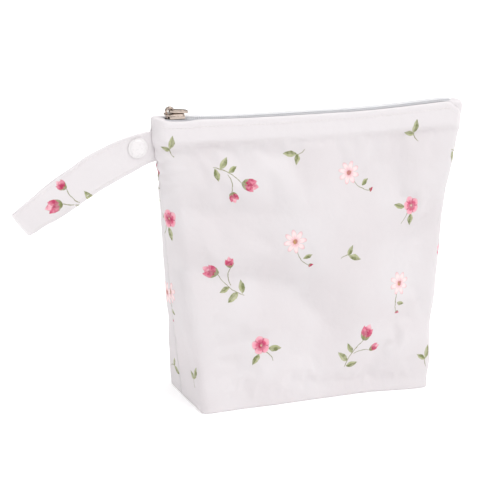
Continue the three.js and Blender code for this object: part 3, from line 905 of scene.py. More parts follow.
# %% Daisy and pair of leaves
daisy, given, gives = new_group("pale_daisy", MOTIF_INPUTS, PAINTED)
made = stalk(daisy, given, (OLIVE, 0.0), (0.6, -3.0), -62, 11.5, -1.4)
made = stroke(daisy, given, leaf, made, (3.4, -8.6), 12, 6.2)
made = stroke(daisy, given, bud, made, (6.2, -12.6), -46, 4.6)
shape = {"Middle": (0.0, 2.0, 0.0), "Radius": 6.9, "Petals": 8.0, "Slim": 0.7, "Waist": 0.34}
bloom = use(daisy, flower, Point=given["Point"], **shape)
tone = tinge(daisy, soft_step(daisy, bloom["Reach"], 0.15, 0.6), PETAL_EDGE, BLUSH)
edge = calc(daisy, "MULTIPLY", soft_step(daisy, bloom["Reach"], 0.72, 1.0), 0.85)
tone = tinge(daisy, edge, tone, PETAL_EDGE)
gap = calc(daisy, "MULTIPLY", soft_step(daisy, bloom["Lobe"], 0.6, 0.15), 0.8)
tone = tinge(daisy, gap, tone, PETAL_EDGE)
made = lay(daisy, made, tone, bloom["Mask"])
made = lay(daisy, made, tinge(daisy, given["Tone"], GOLD, CRIMSON), bloom["Eye"])
hand_on(daisy, gives, made)

pair, given, gives = new_group("leaf_pair", MOTIF_INPUTS, PAINTED)
made = stalk(pair, given, (OLIVE, 0.0), (-1.0, -5.0), 80, 6.0, 0.6)
for foot, degrees, length in (((0.0, 0.0), 44, 8.6), ((0.0, -0.6), 128, 7.0)):
    made = stroke(pair, given, leaf, made, foot, degrees, length)
hand_on(pair, gives, made)
print("daisy:", len(daisy.nodes), "nodes, pair:", len(pair.nodes), "nodes")

# %% [markdown]
# The scatter
# One large repeat holds twelve motifs, each turned its own way, with the edges of the repeat joined up.
# Asking every motif about every point would be slow. So a first group finds which motif a point is near, and
# hands on the point as that motif sees it, with the motif's number. Then each of the four motifs is asked
# only once.

# %% Scatter group
spot, given, gives = new_group(
    "motif_spot",
    {
        "Point": ("vector", (0, 0, 0)),
        "Repeat": ("vector", (1, 1, 1)),
        "Middle": ("vector", (0, 0, 0)),
        "Turn": ("value", 0.0),
        "Reach": ("value", 16.0),
        "Kind": ("value", 1.0),
        "Local So Far": ("vector", (0, 0, 0)),
        "Kind So Far": ("value", 0.0),
    },
    {"Local": "vector", "Kind": "value"},
)
half_repeat = move(spot, "MULTIPLY", given["Repeat"], (0.5, 0.5, 0.5))
offset = move(spot, "ADD", move(spot, "SUBTRACT", given["Point"], given["Middle"]), half_repeat)
low_edge = (0.0, 0.0, 0.0)
offset = move(spot, "SUBTRACT", move(spot, "WRAP", offset, given["Repeat"], low_edge), half_repeat)
near = node(spot, "VectorMath", offset, operation="LENGTH").outputs["Value"]
inside = calc(spot, "LESS_THAN", near, given["Reach"])
upright = turn(spot, offset, calc(spot, "MULTIPLY", given["Turn"], -1.0))
turned = node(spot, "VectorMath", upright, operation="SCALE")
feed(spot, turned.inputs["Scale"], inside)
feed(spot, gives["Local"], move(spot, "ADD", given["Local So Far"], turned.outputs[0]))
feed(spot, gives["Kind"], calc(spot, "MULTIPLY_ADD", inside, given["Kind"], given["Kind So Far"]))

REPEAT = (148.0, 164.0, 1.0)
PRINT_SIZE = 1 / 1.22
SPOTS = (
    # x, y, turn in degrees, reach, motif
    (24.0, 30.0, -12, 17.0, 1),
    (68.0, 18.0, 20, 12.0, 4),
    (112.0, 36.0, 32, 14.0, 2),
    (50.0, 62.0, -28, 16.0, 3),
    (92.0, 74.0, 74, 17.0, 1),
    (16.0, 84.0, -64, 12.0, 4),
    (132.0, 92.0, 8, 16.0, 3),
    (58.0, 108.0, -40, 14.0, 2),
    (20.0, 128.0, 28, 16.0, 3),
    (98.0, 130.0, -96, 17.0, 1),
    (136.0, 142.0, 130, 12.0, 4),
    (62.0, 148.0, 40, 12.0, 4),
)
print("print:", len(SPOTS), "motifs in a repeat of", REPEAT[0], "by", REPEAT[1], "mm")

# %% [markdown]
# Printed cloth
# The real cloth is cotton with a thin waterproof coat, printed before it is sewn. So the print is placed on
# the flat cloth, by the UV map that holds each panel's flat shape, and it runs on over the folds and round
# the ends. Where the cloth lies double, under the zip and in the strap, less light shines through, and the
# ground is a little lighter.

# %% Cloth material
MM_IN_METRE = 1000.0
coated = {"Sheen_Weight": 0.12, "Sheen_Roughness": 0.5, "Specular_IOR_Level": 0.3}
cloth, tree, into = new_material("printed_cloth", **coated)
flat_cloth = node(tree, "UVMap", uv_map="flat_cloth").outputs["UV"]
point = move(tree, "MULTIPLY", flat_cloth, (MM_IN_METRE, MM_IN_METRE, 0.0))
print_point = move(tree, "MULTIPLY", point, (PRINT_SIZE, PRINT_SIZE, 0.0))
watered = use(tree, wash, Point=print_point, Grain=2.6, Push=0.9)
local, kind = (0.0, 0.0, 0.0), 0.0
for x, y, degrees, reach, number in SPOTS:
    found = use(
        tree,
        spot,
        Point=watered["Point"],
        Repeat=REPEAT,
        Middle=(x, y, 0.0),
        Turn=math.radians(degrees),
        Reach=reach,
        Kind=float(number),
        Local_So_Far=local,
        Kind_So_Far=kind,
    )
    local, kind = found["Local"], found["Kind"]
ground = use(tree, wash, Point=point, Grain=46.0, Push=0.0)
cloth_at = node(tree, "SeparateXYZ", node(tree, "TexCoord").outputs["Object"]).outputs
doubled = soft_step(tree, cloth_at["Z"], 0.181, 0.187)
strap_way = calc(tree, "MULTIPLY", cloth_at["X"], -1.0)
doubled = calc(tree, "MAXIMUM", doubled, soft_step(tree, strap_way, 0.113, 0.117))
colour = tinge(tree, ground["Tone"], paint(217, 211, 213), paint(220, 215, 217))
colour = tinge(tree, doubled, colour, paint(224, 219, 221))
for number, motif in enumerate((spray, rose, daisy, pair), start=1):
    drawn = use(tree, motif, Point=local, Tone=watered["Tone"])
    chosen = calc(tree, "COMPARE", kind, float(number), 0.3)
    strength = calc(tree, "MULTIPLY_ADD", watered["Tone"], -0.22, 0.98)
    share = calc(tree, "MULTIPLY", calc(tree, "MULTIPLY", drawn["Mask"], chosen), strength)
    colour = tinge(tree, share, colour, drawn["Colour"])
feed(tree, into["Base Color"], colour)
threads = use(tree, weave, Point=point, Pitch=0.9)
crinkle = node(tree, "TexNoise", point, noise_dimensions="2D")
crinkle.inputs["Scale"].default_value = 0.16
crinkle.inputs["Detail"].default_value = 3.0
fine = calc(tree, "MULTIPLY", threads["Height"], 0.35)
slub = calc(tree, "MULTIPLY_ADD", crinkle.outputs["Fac"], 2.2, fine)
feed(tree, into["Normal"], bump(tree, slub, 0.00022, 0.7))
feed(tree, into["Roughness"], calc(tree, "MULTIPLY_ADD", threads["Height"], 0.1, 0.66))
for panel in (front, back):
    panel.data.materials.append(cloth)
print("printed cloth:", len(tree.nodes), "nodes")

# %% [markdown]
# Thread
# A row of stitches is what makes an edge read as sewn. Each stitch is a small spindle of thread between two
# points. There are hundreds, so a stitch is a ball of only a few faces, stretched and turned to its place.


# %% Stitch helper
def gather(parts):
    """Several small bmeshes in millimetres as one in metres."""
    whole = bmesh.new()
    for part in parts:
        data = bpy.data.meshes.new("part")
        part.to_mesh(data)
        part.free()
        whole.from_mesh(data)
        bpy.data.meshes.remove(data)
    bmesh.ops.scale(whole, verts=whole.verts, vec=(MM, MM, MM))
    return whole


def spindles(spans, thick, sides=8, rings=5):
    """Stretched balls between pairs of points in millimetres, made a few at a time, which is quicker."""
    parts = []
    for count, (start, end) in enumerate(spans):
        if count % 10 == 0:
            parts.append(bmesh.new())
        way = end - start
        place = Matrix.Translation((start + end) * 0.5) @ way.to_track_quat("X", "Z").to_matrix().to_4x4()
        place @= Matrix.Diagonal((way.length / 2, thick / 2, thick / 2, 1.0))
        bmesh.ops.create_uvsphere(parts[-1], u_segments=sides, v_segments=rings, radius=1.0, matrix=place)
    return gather(parts)


def in_mm(tree):
    """The place on the object, in millimetres."""
    return move(tree, "MULTIPLY", node(tree, "TexCoord").outputs["Object"], (MM_IN_METRE,) * 3)


thread, tree, into = new_material("white_thread", Sheen_Weight=0.2, Specular_IOR_Level=0.35)
ply = node(tree, "TexWave", in_mm(tree), wave_type="BANDS", bands_direction="DIAGONAL")
ply.inputs["Scale"].default_value = 1.6
feed(tree, into["Base Color"], tinge(tree, ply.outputs["Fac"], paint(226, 220, 220), paint(238, 234, 234)))
feed(tree, into["Roughness"], calc(tree, "MULTIPLY_ADD", ply.outputs["Fac"], 0.12, 0.6))
feed(tree, into["Normal"], bump(tree, ply.outputs["Fac"], 0.00008))
print("thread material:", len(tree.nodes), "nodes")

# %% Topstitching under the zip
THREAD, STITCH_LEVEL, STITCH_PITCH, FACE_WIDE = 0.42, 0.978, 2.9, 215.0
stitches = []
for side in (-1, 1):
    pitch = FACE_STEPS * STITCH_PITCH / FACE_WIDE
    column = END_STEPS - 6.0
    while column < COLUMNS - END_STEPS + 4:
        ends = (column + 0.1 * pitch, column + 0.86 * pitch)
        stitches.append([skin(side, STITCH_LEVEL, end, proud=0.02)[0] for end in ends])
        column += pitch
topstitch = show("zip_topstitching", spindles(stitches, THREAD), thread)
print("zip topstitching:", len(stitches), "stitches")

# %% [markdown]
# The zip
# A coil zip has two rows of bent nylon that hook into each other on a woven tape. The solids hold the coil
# as one grooved bar, which is enough for a collision but not for the eye. So here each turn of the coil has
# its own upper and lower leg, small beads in two rows half a pitch apart, slanted like a plait. The tapes
# keep their solids, in a rib weave.

# %% Zip tape
tape_cloth, tree, into = new_material("grey_tape", Sheen_Weight=0.15, Specular_IOR_Level=0.25)
split = node(tree, "SeparateXYZ", in_mm(tree))
slant = calc(tree, "ADD", split.outputs["X"], calc(tree, "ABSOLUTE", split.outputs["Y"]))
ribs = calc(tree, "SINE", calc(tree, "MULTIPLY", slant, 2 * math.pi / 0.9))
rib = calc(tree, "MULTIPLY_ADD", ribs, 0.5, 0.5)
feed(tree, into["Base Color"], tinge(tree, rib, paint(196, 196, 200), paint(216, 216, 220)))
feed(tree, into["Roughness"], calc(tree, "MULTIPLY_ADD", rib, -0.1, 0.88))
feed(tree, into["Normal"], bump(tree, rib, 0.00012))
for name in ("zip_tape_front", "zip_tape_back"):
    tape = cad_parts[name]
    tape.data.materials.clear()
    tape.data.materials.append(tape_cloth)
print("tape material:", len(tree.nodes), "nodes")

# %% Zip coil
nylon, tree, into = new_material(
    "coil_nylon",
    Specular_IOR_Level=0.4,
    Subsurface_Weight=0.8,
    Subsurface_Radius=(1.0, 1.0, 1.0),
    Subsurface_Scale=0.0012,
)
speck = node(tree, "TexNoise", in_mm(tree))
speck.inputs["Scale"].default_value = 4.5
pale = speck.outputs["Fac"]
feed(tree, into["Base Color"], tinge(tree, pale, paint(228, 228, 231), paint(240, 240, 243)))
feed(tree, into["Roughness"], calc(tree, "MULTIPLY_ADD", pale, 0.15, 0.32))


def zip_top(x):
    """The height of the tape along the zip."""
    return HEIGHT - mouth_dip(x) - 0.8


COIL_FROM, COIL_TO, COIL_PITCH = -92.4, 106.4, 1.5
turns = []
for row in (-1, 1):
    x = COIL_FROM + (COIL_PITCH / 2 if row > 0 else 0.0)
    while x < COIL_TO:
        for lift, slant, out in ((1.45, 0.22, 2.8), (0.55, -0.22, 3.6)):
            z = zip_top(x) + lift
            turns.append((Vector((x - slant, row * -0.35, z)), Vector((x + slant, row * out, z - 0.1))))
        x += COIL_PITCH
COIL_THICK = 1.3
coil = show("coil_teeth", spindles(turns, COIL_THICK, 8, 6), nylon)
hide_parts("zip_coil")
print("coil:", len(turns) // 2, "turns")

# %% [markdown]
# The ends of the zip
# Past the last teeth the tape is turned in and covered, so that no hole is left at the corners. By the strap
# a flap of the same cloth does this, a grid that lies across the slot and turns down behind the front panel.
# At the far end the cloth is folded over the zip, and shows as a small pillow above the dropped front corner.


# %% Zip ends
FLAP_FRONT, FLAP_BACK, TURN_DOWN, APRON = -5.0, 5.2, 0.4, 10.0


def end_flap(name, start, end):
    """A flap across the slot between two places along the zip."""
    bm = bmesh.new()
    bmesh.ops.create_grid(bm, x_segments=16, y_segments=20, size=1.0)
    layer = bm.loops.layers.uv.new("flat_cloth")
    for vert in bm.verts:
        x = lerp(start, end, (vert.co.x + 1) / 2)
        y = lerp(FLAP_FRONT, FLAP_BACK, max(vert.co.y + TURN_DOWN, 0.0) / (1 + TURN_DOWN))
        apron = APRON * max(-TURN_DOWN - vert.co.y, 0.0)
        vert.co = Vector((x, y, zip_top(x) + 0.4 - 0.4 * (y / FLAP_BACK) ** 2 - apron)) * MM
    for face in bm.faces:
        for loop in face.loops:
            loop[layer].uv = (loop.vert.co.x * 0.5 + 0.1, loop.vert.co.y + 0.1)
    bmesh.ops.recalc_face_normals(bm, faces=bm.faces)
    made = show(name, bm, cloth)
    made.modifiers.new("cloth_thickness", "SOLIDIFY").thickness = 0.7 * MM
    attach(made, "bag")


end_flap("zip_end_near", -112.6, -107.0)


BOXINESS = 4.2


def end_pad(name, middle, half):
    """A small pillow of cloth: a ball drawn out towards a box, with a crease where it is folded."""
    bm = bmesh.new()
    bmesh.ops.create_uvsphere(bm, u_segments=48, v_segments=32, radius=1.0)
    layer = bm.loops.layers.uv.new("flat_cloth")
    for vert in bm.verts:
        way = vert.co.copy()
        reach = sum(abs(v) ** BOXINESS for v in way) ** (-1 / BOXINESS)
        place = Vector(way[k] * reach * half[k] for k in range(3))
        crease = 0.5 * math.exp(-(((place.x + 1.5) / 0.7) ** 2)) + 0.25 * noise.noise(place / 2.6)
        vert.co = (middle + place - way * crease) * MM
    for face in bm.faces:
        for loop in face.loops:
            loop[layer].uv = (loop.vert.co.x * 0.5 + 0.1, loop.vert.co.y + 0.5 * loop.vert.co.z)
    made = show(name, bm, cloth)
    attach(made, "bag")


end_pad("zip_end_far", Vector((109.4, -0.5, 196.7)), (5.6, 5.9, 5.5))
print("zip ends: a flap by the strap and a pillow at the far corner")

# %% [markdown]
# The slider and its puller
# Both are die-cast and nickel plated. Polished metal shows its edges more than its faces, so every edge is
# rounded with a bevel of three steps. The slider is two plates on a neck with an arch on top, and the puller
# is a tab with a window that the arch passes through. The puller turns on the hinge of the solids, so it
# rides on its own body.

# %% Nickel
nickel, tree, into = new_material("warm_nickel", Metallic=1.0)
haze = node(tree, "TexNoise", in_mm(tree))
haze.inputs["Scale"].default_value = 0.55
haze.inputs["Detail"].default_value = 4.0
feed(tree, into["Base Color"], tinge(tree, haze.outputs["Fac"], paint(164, 150, 140), paint(198, 184, 174)))
feed(tree, into["Roughness"], calc(tree, "MULTIPLY_ADD", haze.outputs["Fac"], 0.14, 0.05))
feed(tree, into["Normal"], bump(tree, haze.outputs["Fac"], 0.00006))
print("nickel material:", len(tree.nodes), "nodes")

# %% Slider sizes and shapes in millimetres
SLIDER_NOSE, SLIDER_TAIL, PLATE = -106.4, -94.4, 1.3
SLIDER_MID = (SLIDER_NOSE + SLIDER_TAIL) / 2
PLATE_LOW = zip_top(SLIDER_MID) + 1.9 + 0.3
PLATE_TOP = PLATE_LOW + PLATE
PIVOT = Vector((SLIDER_NOSE + 3.4, 0.0, PLATE_TOP + 1.7))
print("hinge line at", tuple(round(v, 2) for v in PIVOT))


def soften(bm, offset, keep=35.0, segments=3):
    """Rounds every edge of a shape that is sharper than an angle."""
    sharp = [e for e in bm.edges if len(e.link_faces) == 2 and e.calc_face_angle() > math.radians(keep)]
    look = {"affect": "EDGES", "segments": segments, "profile": 0.5, "material": -1}
    bmesh.ops.bevel(bm, geom=sharp, offset=offset, clamp_overlap=True, **look)


def pull(bm, faces, way):
    """Extrudes faces, moves the new ones and returns them."""
    grown = bmesh.ops.extrude_face_region(bm, geom=faces)["geom"]
    moved = [part for part in grown if isinstance(part, bmesh.types.BMVert)]
    bmesh.ops.translate(bm, verts=moved, vec=way)
    return [part for part in grown if isinstance(part, bmesh.types.BMFace)]


def block(low, high, offset):
    """A box between two corners with rounded edges, in millimetres."""
    bm = bmesh.new()
    low, high = Vector(low), Vector(high)
    place = Matrix.Translation((low + high) / 2) @ Matrix.Diagonal((*(high - low), 1.0))
    bmesh.ops.create_cube(bm, size=1.0, matrix=place)
    soften(bm, offset)
    return bm


def plate(low, high):
    """One plate of the slider: broad at the nose, narrow at the tail, with a crowned face."""
    bm = bmesh.new()
    bmesh.ops.create_circle(bm, cap_ends=True, segments=56, radius=1.0)
    for vert in bm.verts:
        c, s = vert.co.x, vert.co.y
        x = SLIDER_MID + 0.7 + 6.7 * math.copysign(abs(c) ** 0.5, c)
        half = lerp(4.75, 4.3, smooth(x, SLIDER_NOSE + 3, SLIDER_NOSE + 7))
        vert.co = (x, half * math.copysign(abs(s) ** 0.55, s), low)
    pull(bm, bm.faces[:], (0, 0, high - low))
    bmesh.ops.recalc_face_normals(bm, faces=bm.faces)
    soften(bm, 0.38)
    lid = [f for f in bm.faces if f.normal.z > 0.99 and f.calc_area() > 20]
    bmesh.ops.inset_region(bm, faces=lid, thickness=0.9, depth=0.16)
    return bm


# %% Slider
def arch():
    """The half ring on its two legs: a rounded section, pulled up, spun half round and pulled down."""
    bm = bmesh.new()
    foot = PLATE_TOP - 0.3
    stand = Matrix.Translation((PIVOT.x + 2.35, 0.0, foot)) @ Matrix.Diagonal((0.85, 1.0, 1.0, 1.0))
    bmesh.ops.create_circle(bm, cap_ends=True, segments=16, radius=1.0, matrix=stand)
    for vert in bm.verts:
        vert.co.y = 1.2 * math.copysign(min(abs(vert.co.y) * 1.25, 1.0), vert.co.y)
    head = pull(bm, bm.faces[:], (0, 0, PIVOT.z - foot))
    spun = bmesh.ops.spin(bm, geom=head, cent=PIVOT, axis=(0, -1, 0), angle=math.pi, steps=18)
    tail = [part for part in spun["geom_last"] if isinstance(part, bmesh.types.BMFace)]
    pull(bm, tail, (0, 0, foot - PIVOT.z))
    bmesh.ops.remove_doubles(bm, verts=bm.verts, dist=0.001)
    lids = [f for f in bm.faces if len(f.verts) > 4 and f.calc_center_median().z > foot + 0.5]
    bmesh.ops.delete(bm, geom=lids, context="FACES_ONLY")
    bmesh.ops.recalc_face_normals(bm, faces=bm.faces)
    return bm


under = zip_top(SLIDER_MID) - 1.2
flange_low, flange_high = zip_top(SLIDER_MID) + 0.3, PLATE_LOW + 0.4
flange_from, flange_to = SLIDER_NOSE + 2.2, SLIDER_TAIL + 1.0
slider_parts = [
    plate(PLATE_LOW, PLATE_TOP),
    plate(under - PLATE, under),
    block((SLIDER_NOSE + 1.2, -1.3, under - 0.2), (SLIDER_NOSE + 4.6, 1.3, PLATE_LOW + 0.2), 0.3),
    block((flange_from, -4.45, flange_low), (flange_to, -3.4, flange_high), 0.3),
    block((flange_from, 3.4, flange_low), (flange_to, 4.45, flange_high), 0.3),
    arch(),
]
slider = show("slider_body", gather(slider_parts), nickel)
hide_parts("zip_slider")
print("slider:", len(slider_parts), "shapes,", len(slider.data.polygons), "faces")


# %% Puller
def loop_of(bm, half_long, half_wide, middle, power, taper=0.0):
    """A ring of edges in the shape of a soft rectangle."""
    made = bmesh.ops.create_circle(bm, cap_ends=False, segments=56, radius=1.0)["verts"]
    for vert in made:
        c, s = vert.co.x, vert.co.y
        x = half_long * math.copysign(abs(c) ** power, c)
        vert.co = (middle + x, (half_wide + taper * x) * math.copysign(abs(s) ** power, s), 0.0)
    return list({edge for vert in made for edge in vert.link_edges})


tab = bmesh.new()
rim = loop_of(tab, 6.6, 3.3, 5.9, 0.5, 0.03)
window = loop_of(tab, 1.9, 1.6, 2.6, 0.45)
bmesh.ops.bridge_loops(tab, edges=rim + window)
pull(tab, tab.faces[:], (0, 0, 1.7))
bmesh.ops.recalc_face_normals(tab, faces=tab.faces)
bmesh.ops.translate(tab, verts=tab.verts, vec=(0, 0, -0.7))
soften(tab, 0.32)
raised = bmesh.new()
oval = Matrix.Translation((8.3, 0, 0.95)) @ Matrix.Diagonal((2.9, 2.1, 1, 1))
bmesh.ops.create_circle(raised, cap_ends=True, segments=48, radius=1.0, matrix=oval)
pull(raised, raised.faces[:], (0, 0, 0.32))
bmesh.ops.recalc_face_normals(raised, faces=raised.faces)
soften(raised, 0.13)
tilt = Matrix.Translation(PIVOT) @ Matrix.Rotation(math.radians(4.0), 4, "Y")
for part in (tab, raised):
    bmesh.ops.transform(part, matrix=tilt, verts=part.verts)
puller = show("pull_tab", gather([tab, raised]), nickel)
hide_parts("zip_puller")
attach(puller, "puller")
print("puller:", len(puller.data.polygons), "faces")

# %% [markdown]
# The wrist strap
# The strap is one tube of the same cloth, pressed flat and stitched along both edges, that leaves the side
# seam, folds round and comes back to its press stud. It could be dropped as cloth, but the fold and the stud
# hold it, so it is modelled directly: its cross-section is a flat loop of points, carried along nearly the
# route of the solid. A grid is rolled into that tube and welded where its two sides meet.

# %% Route of the strap in millimetres
STRAP_THICK, SEAM_Z, SEAM_TILT, END_TILT, STRAP_LONG = 1.8, 181.0, 17.0, 38.8, 101.0
ROUTE = (
    # distance out of the seam, depth, width, lean of the upper edge in degrees
    (-5.0, -0.6, 20.2, 0.0),
    (2.0, -1.0, 21.0, 0.0),
    (11.0, -1.1, 22.4, 0.0),
    (20.0, -1.3, 23.8, -2.0),
    (42.0, -2.2, 24.6, -5.0),
    (66.0, -2.9, 23.6, -3.0),
    (84.0, -2.9, 25.6, 14.0),
    (99.0, -2.1, 25.0, 22.0),
    (102.4, 0.0, 24.0, 22.0),
    (99.0, 2.1, 22.6, 22.0),
    (84.0, 2.9, 22.8, 14.0),
    (66.0, 2.9, 23.0, -3.0),
    (42.0, 3.0, 22.6, -5.0),
    (20.0, 3.4, 22.0, -2.0),
    (11.0, 3.5, 21.0, 0.0),
    (3.4, 3.5, 20.2, 0.0),
)
SEAM_X = -(lerp(BASE_WIDE, TOP_WIDE, SEAM_Z / HEIGHT) / 2 - read_row(SECTIONS, SEAM_Z / HEIGHT)[0])


def on_strap(along, y, across, lean):
    """A point of the strap: it droops along an arc as it leaves the seam."""
    start = math.radians(SEAM_TILT)
    bend = math.radians(END_TILT - SEAM_TILT) / STRAP_LONG
    tilt = start + bend * along
    x = SEAM_X - (math.sin(tilt) - math.sin(start)) / bend
    z = SEAM_Z + (math.cos(tilt) - math.cos(start)) / bend
    up = across * math.cos(math.radians(lean))
    back = across * math.sin(math.radians(lean))
    return Vector((x - up * math.sin(tilt), y - back, z + up * math.cos(tilt)))


print("strap leaves the seam at", tuple(round(v, 1) for v in on_strap(0.0, 0.0, 0.0, 0.0)))


# %% Curve along the strap
def through(points, t):
    """A smooth curve through points, with steps as the square root of their distance."""
    at = min(t * (len(points) - 1), len(points) - 1 - 1e-9)
    i = int(at)
    p1, p2 = points[i], points[i + 1]
    p0 = points[i - 1] if i else p1 * 2 - p2
    p3 = points[i + 2] if i + 2 < len(points) else p2 * 2 - p1
    d0, d1, d2 = (max((b - a).length, 1e-6) ** 0.5 for a, b in ((p0, p1), (p1, p2), (p2, p3)))
    m1 = ((p1 - p0) / d0 - (p2 - p0) / (d0 + d1) + (p2 - p1) / d1) * d1
    m2 = ((p2 - p1) / d1 - (p3 - p1) / (d1 + d2) + (p3 - p2) / d2) * d1
    w = at - i
    near_part = p1 * (2 * w**3 - 3 * w**2 + 1) + m1 * (w**3 - 2 * w**2 + w)
    return near_part + p2 * (3 * w**2 - 2 * w**3) + m2 * (w**3 - w**2)


route = [Vector((row[0], row[1])) for row in ROUTE]
cut = [Vector((row[2], row[3])) for row in ROUTE]
SAMPLES = 1200
samples = [through(route, k / SAMPLES) for k in range(SAMPLES + 1)]
travel = [0.0]
for a, b in zip(samples, samples[1:]):
    travel.append(travel[-1] + (b - a).length)
STRAP_FLAT = travel[-1]
print("strap:", round(STRAP_FLAT, 1), "mm long, flat")


# %% A point of the strap
def strap_point(distance, across_share, face):
    """A point at a distance along the strap, across its width and towards one face."""
    low, high = 0, len(travel) - 1
    while high - low > 1:
        k = (low + high) // 2
        low, high = (k, high) if travel[k] < distance else (low, k)
    span = max(travel[high] - travel[low], 1e-9)
    t = (low + min(max((distance - travel[low]) / span, 0.0), 1.0)) / SAMPLES
    middle = through(route, t)
    way = (through(route, min(t + 0.002, 1.0)) - through(route, max(t - 0.002, 0.0))).normalized()
    width, lean = through(cut, t)
    before_end = 1 - smooth(distance, STRAP_FLAT - 40, STRAP_FLAT - 14)
    free = smooth(distance, 14, 40) * before_end
    wave = 0.5 * free * noise.noise(Vector((distance / 17, across_share * 0.8, 2.0)))
    thick = STRAP_THICK / 2 * face + wave
    edge_wave = noise.noise(Vector((distance / 9, math.copysign(3, across_share), 8.0)))
    across = across_share * width / 2 + 0.25 * free * edge_wave
    lift = lerp(1.1, -0.3, smooth(distance, 45, 80)) * smooth(distance, 2, 14)
    lift += 1.2 * smooth(distance, 85, 100)
    lift -= 2.1 * smooth(distance, 0.5 * STRAP_FLAT, 0.62 * STRAP_FLAT)
    across += lift * before_end
    return on_strap(middle.x - way.y * thick, middle.y + way.x * thick, across, lean)


print("strap folds at", tuple(round(v, 1) for v in strap_point(STRAP_FLAT / 2, 0.0, 1.0)))


# %% Section of the strap, and the tube
FACE_POINTS, STITCH_IN, STRAP_HALF = 18, 2.1, 11.3


def strap_section():
    """(share across, towards which face, distance round) for points round the flat tube."""
    edge = 0.06
    ring = [(lerp(-1 + edge, 1 - edge, k / FACE_POINTS), 1.0) for k in range(FACE_POINTS + 1)]
    ring += [(1 - edge + edge * math.sin(a), math.cos(a)) for a in (math.pi * k / 6 for k in range(1, 6))]
    ring += [(-share, -1.0) for share, _ in ring[: FACE_POINTS + 1]]
    ring += [(-share, -face) for share, face in ring[FACE_POINTS + 1 : FACE_POINTS + 6]]
    ring.append(ring[0])
    made, walked = [], 0.0
    for k, (share, face) in enumerate(ring):
        if k:
            step_across = (share - ring[k - 1][0]) * STRAP_HALF
            walked += math.hypot(step_across, (face - ring[k - 1][1]) * STRAP_THICK / 2)
        from_edge = (1 - abs(share)) * STRAP_HALF
        pressed = 1 - 0.3 * math.exp(-(((from_edge - STITCH_IN) / 0.7) ** 2))
        made.append((share, face * pressed, walked))
    return made


section = strap_section()
STRAP_STEPS = 150
band = bmesh.new()
bmesh.ops.create_grid(band, x_segments=len(section) - 1, y_segments=STRAP_STEPS, size=1.0)
flat = {}
for vert in band.verts:
    share, face, walked = section[round((vert.co.x + 1) / 2 * (len(section) - 1))]
    distance = STRAP_FLAT * round((vert.co.y + 1) / 2 * STRAP_STEPS) / STRAP_STEPS
    vert.co = strap_point(distance, share, face) * MM
    flat[vert] = (distance * MM + 0.047, walked * MM + 0.118)
layer = band.loops.layers.uv.new("flat_cloth")
for face in band.faces:
    for loop in face.loops:
        loop[layer].uv = flat[loop.vert]
bmesh.ops.remove_doubles(band, verts=band.verts, dist=1e-6)
bmesh.ops.holes_fill(band, edges=[e for e in band.edges if e.is_boundary], sides=0)
bmesh.ops.recalc_face_normals(band, faces=band.faces)
strap = show("wrist_strap", band, cloth)
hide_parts("strap")
print("strap mesh:", len(strap.data.polygons), "faces")

# %% Strap stitching
STRAP_PITCH, PRESSED = 2.7, 0.76
stitches = []
for face in (-1, 1):
    for edge in (-1, 1):
        share = edge * (1 - STITCH_IN / STRAP_HALF)
        distance = 8.0
        while distance < STRAP_FLAT - 4:
            ends = (distance + 0.2, distance + 2.3)
            stitches.append([strap_point(end, share, face * PRESSED) for end in ends])
            distance += STRAP_PITCH
strap_stitch = show("strap_stitching", spindles(stitches, THREAD), thread)
print("strap stitching:", len(stitches), "stitches")

# %% [markdown]
# The press stud
# A plastic stud has two domed caps with a rolled rim. A cap is round, so it is spun: half of its profile is
# drawn as a few points and turned about the depth axis. The hidden post between the caps keeps its solid.

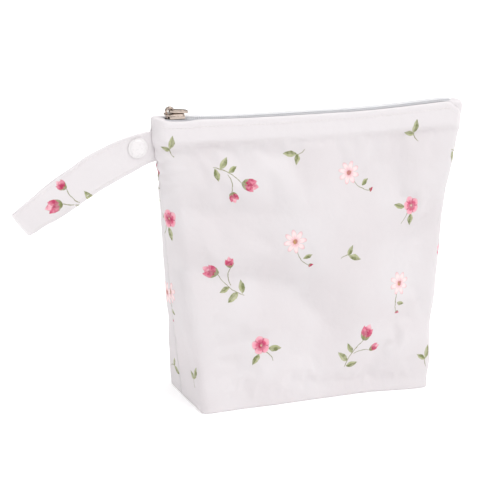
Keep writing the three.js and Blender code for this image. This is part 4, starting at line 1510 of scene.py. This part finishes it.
# %% Press stud
glossy = {"Specular_IOR_Level": 0.55, "Coat_Weight": 0.25, "Coat_Roughness": 0.12}
stud, tree, into = new_material("stud_plastic", **glossy)
mould = node(tree, "TexNoise", in_mm(tree))
mould.inputs["Scale"].default_value = 0.7
flow = mould.outputs["Fac"]
feed(tree, into["Base Color"], tinge(tree, flow, paint(227, 223, 224), paint(232, 228, 229)))
feed(tree, into["Roughness"], calc(tree, "MULTIPLY_ADD", flow, 0.14, 0.22))
feed(tree, into["Normal"], bump(tree, flow, 0.00002, 0.5))
STUD_OUT, STUD_UP, CAP_GAP = 11.5, 3.2, 0.15
LEG_FRONT, LEG_BACK = -1.1, 3.5
STUD = on_strap(STUD_OUT, 0.0, STUD_UP, 0.0)
CAP_PROFILE = (
    (6.4, 0.0), (6.72, 0.1), (6.8, 0.28), (6.7, 0.45), (6.4, 0.54), (5.8, 0.56), (5.45, 0.66),
    (5.25, 0.9), (5.05, 1.16), (4.7, 1.34), (4.0, 1.44), (2.0, 1.54), (0.0, 1.56),
)


def stud_cap(name, node_name, facing, seat):
    """A cap spun about the depth axis, on the strap's face."""
    bm = bmesh.new()
    outline = ((0.0, 0.0), *CAP_PROFILE)
    profile = [bm.verts.new((STUD.x + r, seat + facing * h, STUD.z)) for r, h in outline]
    edges = [bm.edges.new(ends) for ends in zip(profile, profile[1:])]
    turn_about = {"cent": (STUD.x, seat, STUD.z), "axis": (0, 1, 0), "angle": 2 * math.pi}
    bmesh.ops.spin(bm, geom=profile + edges, steps=56, use_merge=True, **turn_about)
    bmesh.ops.remove_doubles(bm, verts=bm.verts, dist=0.0005)
    bmesh.ops.recalc_face_normals(bm, faces=bm.faces)
    made = show(name, gather([bm]), stud)
    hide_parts(node_name)
    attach(made, "bag")


stud_cap("stud_cap_front", "snap_cap_front", -1, LEG_FRONT - STRAP_THICK / 2 - CAP_GAP)
stud_cap("stud_cap_back", "snap_cap_back", 1, LEG_BACK + STRAP_THICK / 2 + CAP_GAP)
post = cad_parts["snap_post"]
post.data.materials.clear()
post.data.materials.append(stud)
print("press stud at", tuple(round(v, 1) for v in STUD), "mm")

# %% [markdown]
# Who rides on what
# Each piece is tied to the body of the solids that it moves with. The small pieces were tied where they
# were made. The large ones are tied here, side by side, where they are easier to check.

# %% Ride and replace
for panel, node_name in ((front, "front_panel"), (back, "back_panel")):
    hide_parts(node_name)
    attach(panel, "bag")

SHOWN = (
    (topstitch, "printed_cloth"),
    (coil, "zip_coil"),
    (slider, "nickel"),
    (strap, "printed_cloth"),
    (strap_stitch, "printed_cloth"),
)
for piece, slot in SHOWN:
    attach(piece, "bag")
print("pieces tied to the bag here:", len(SHOWN) + 2)
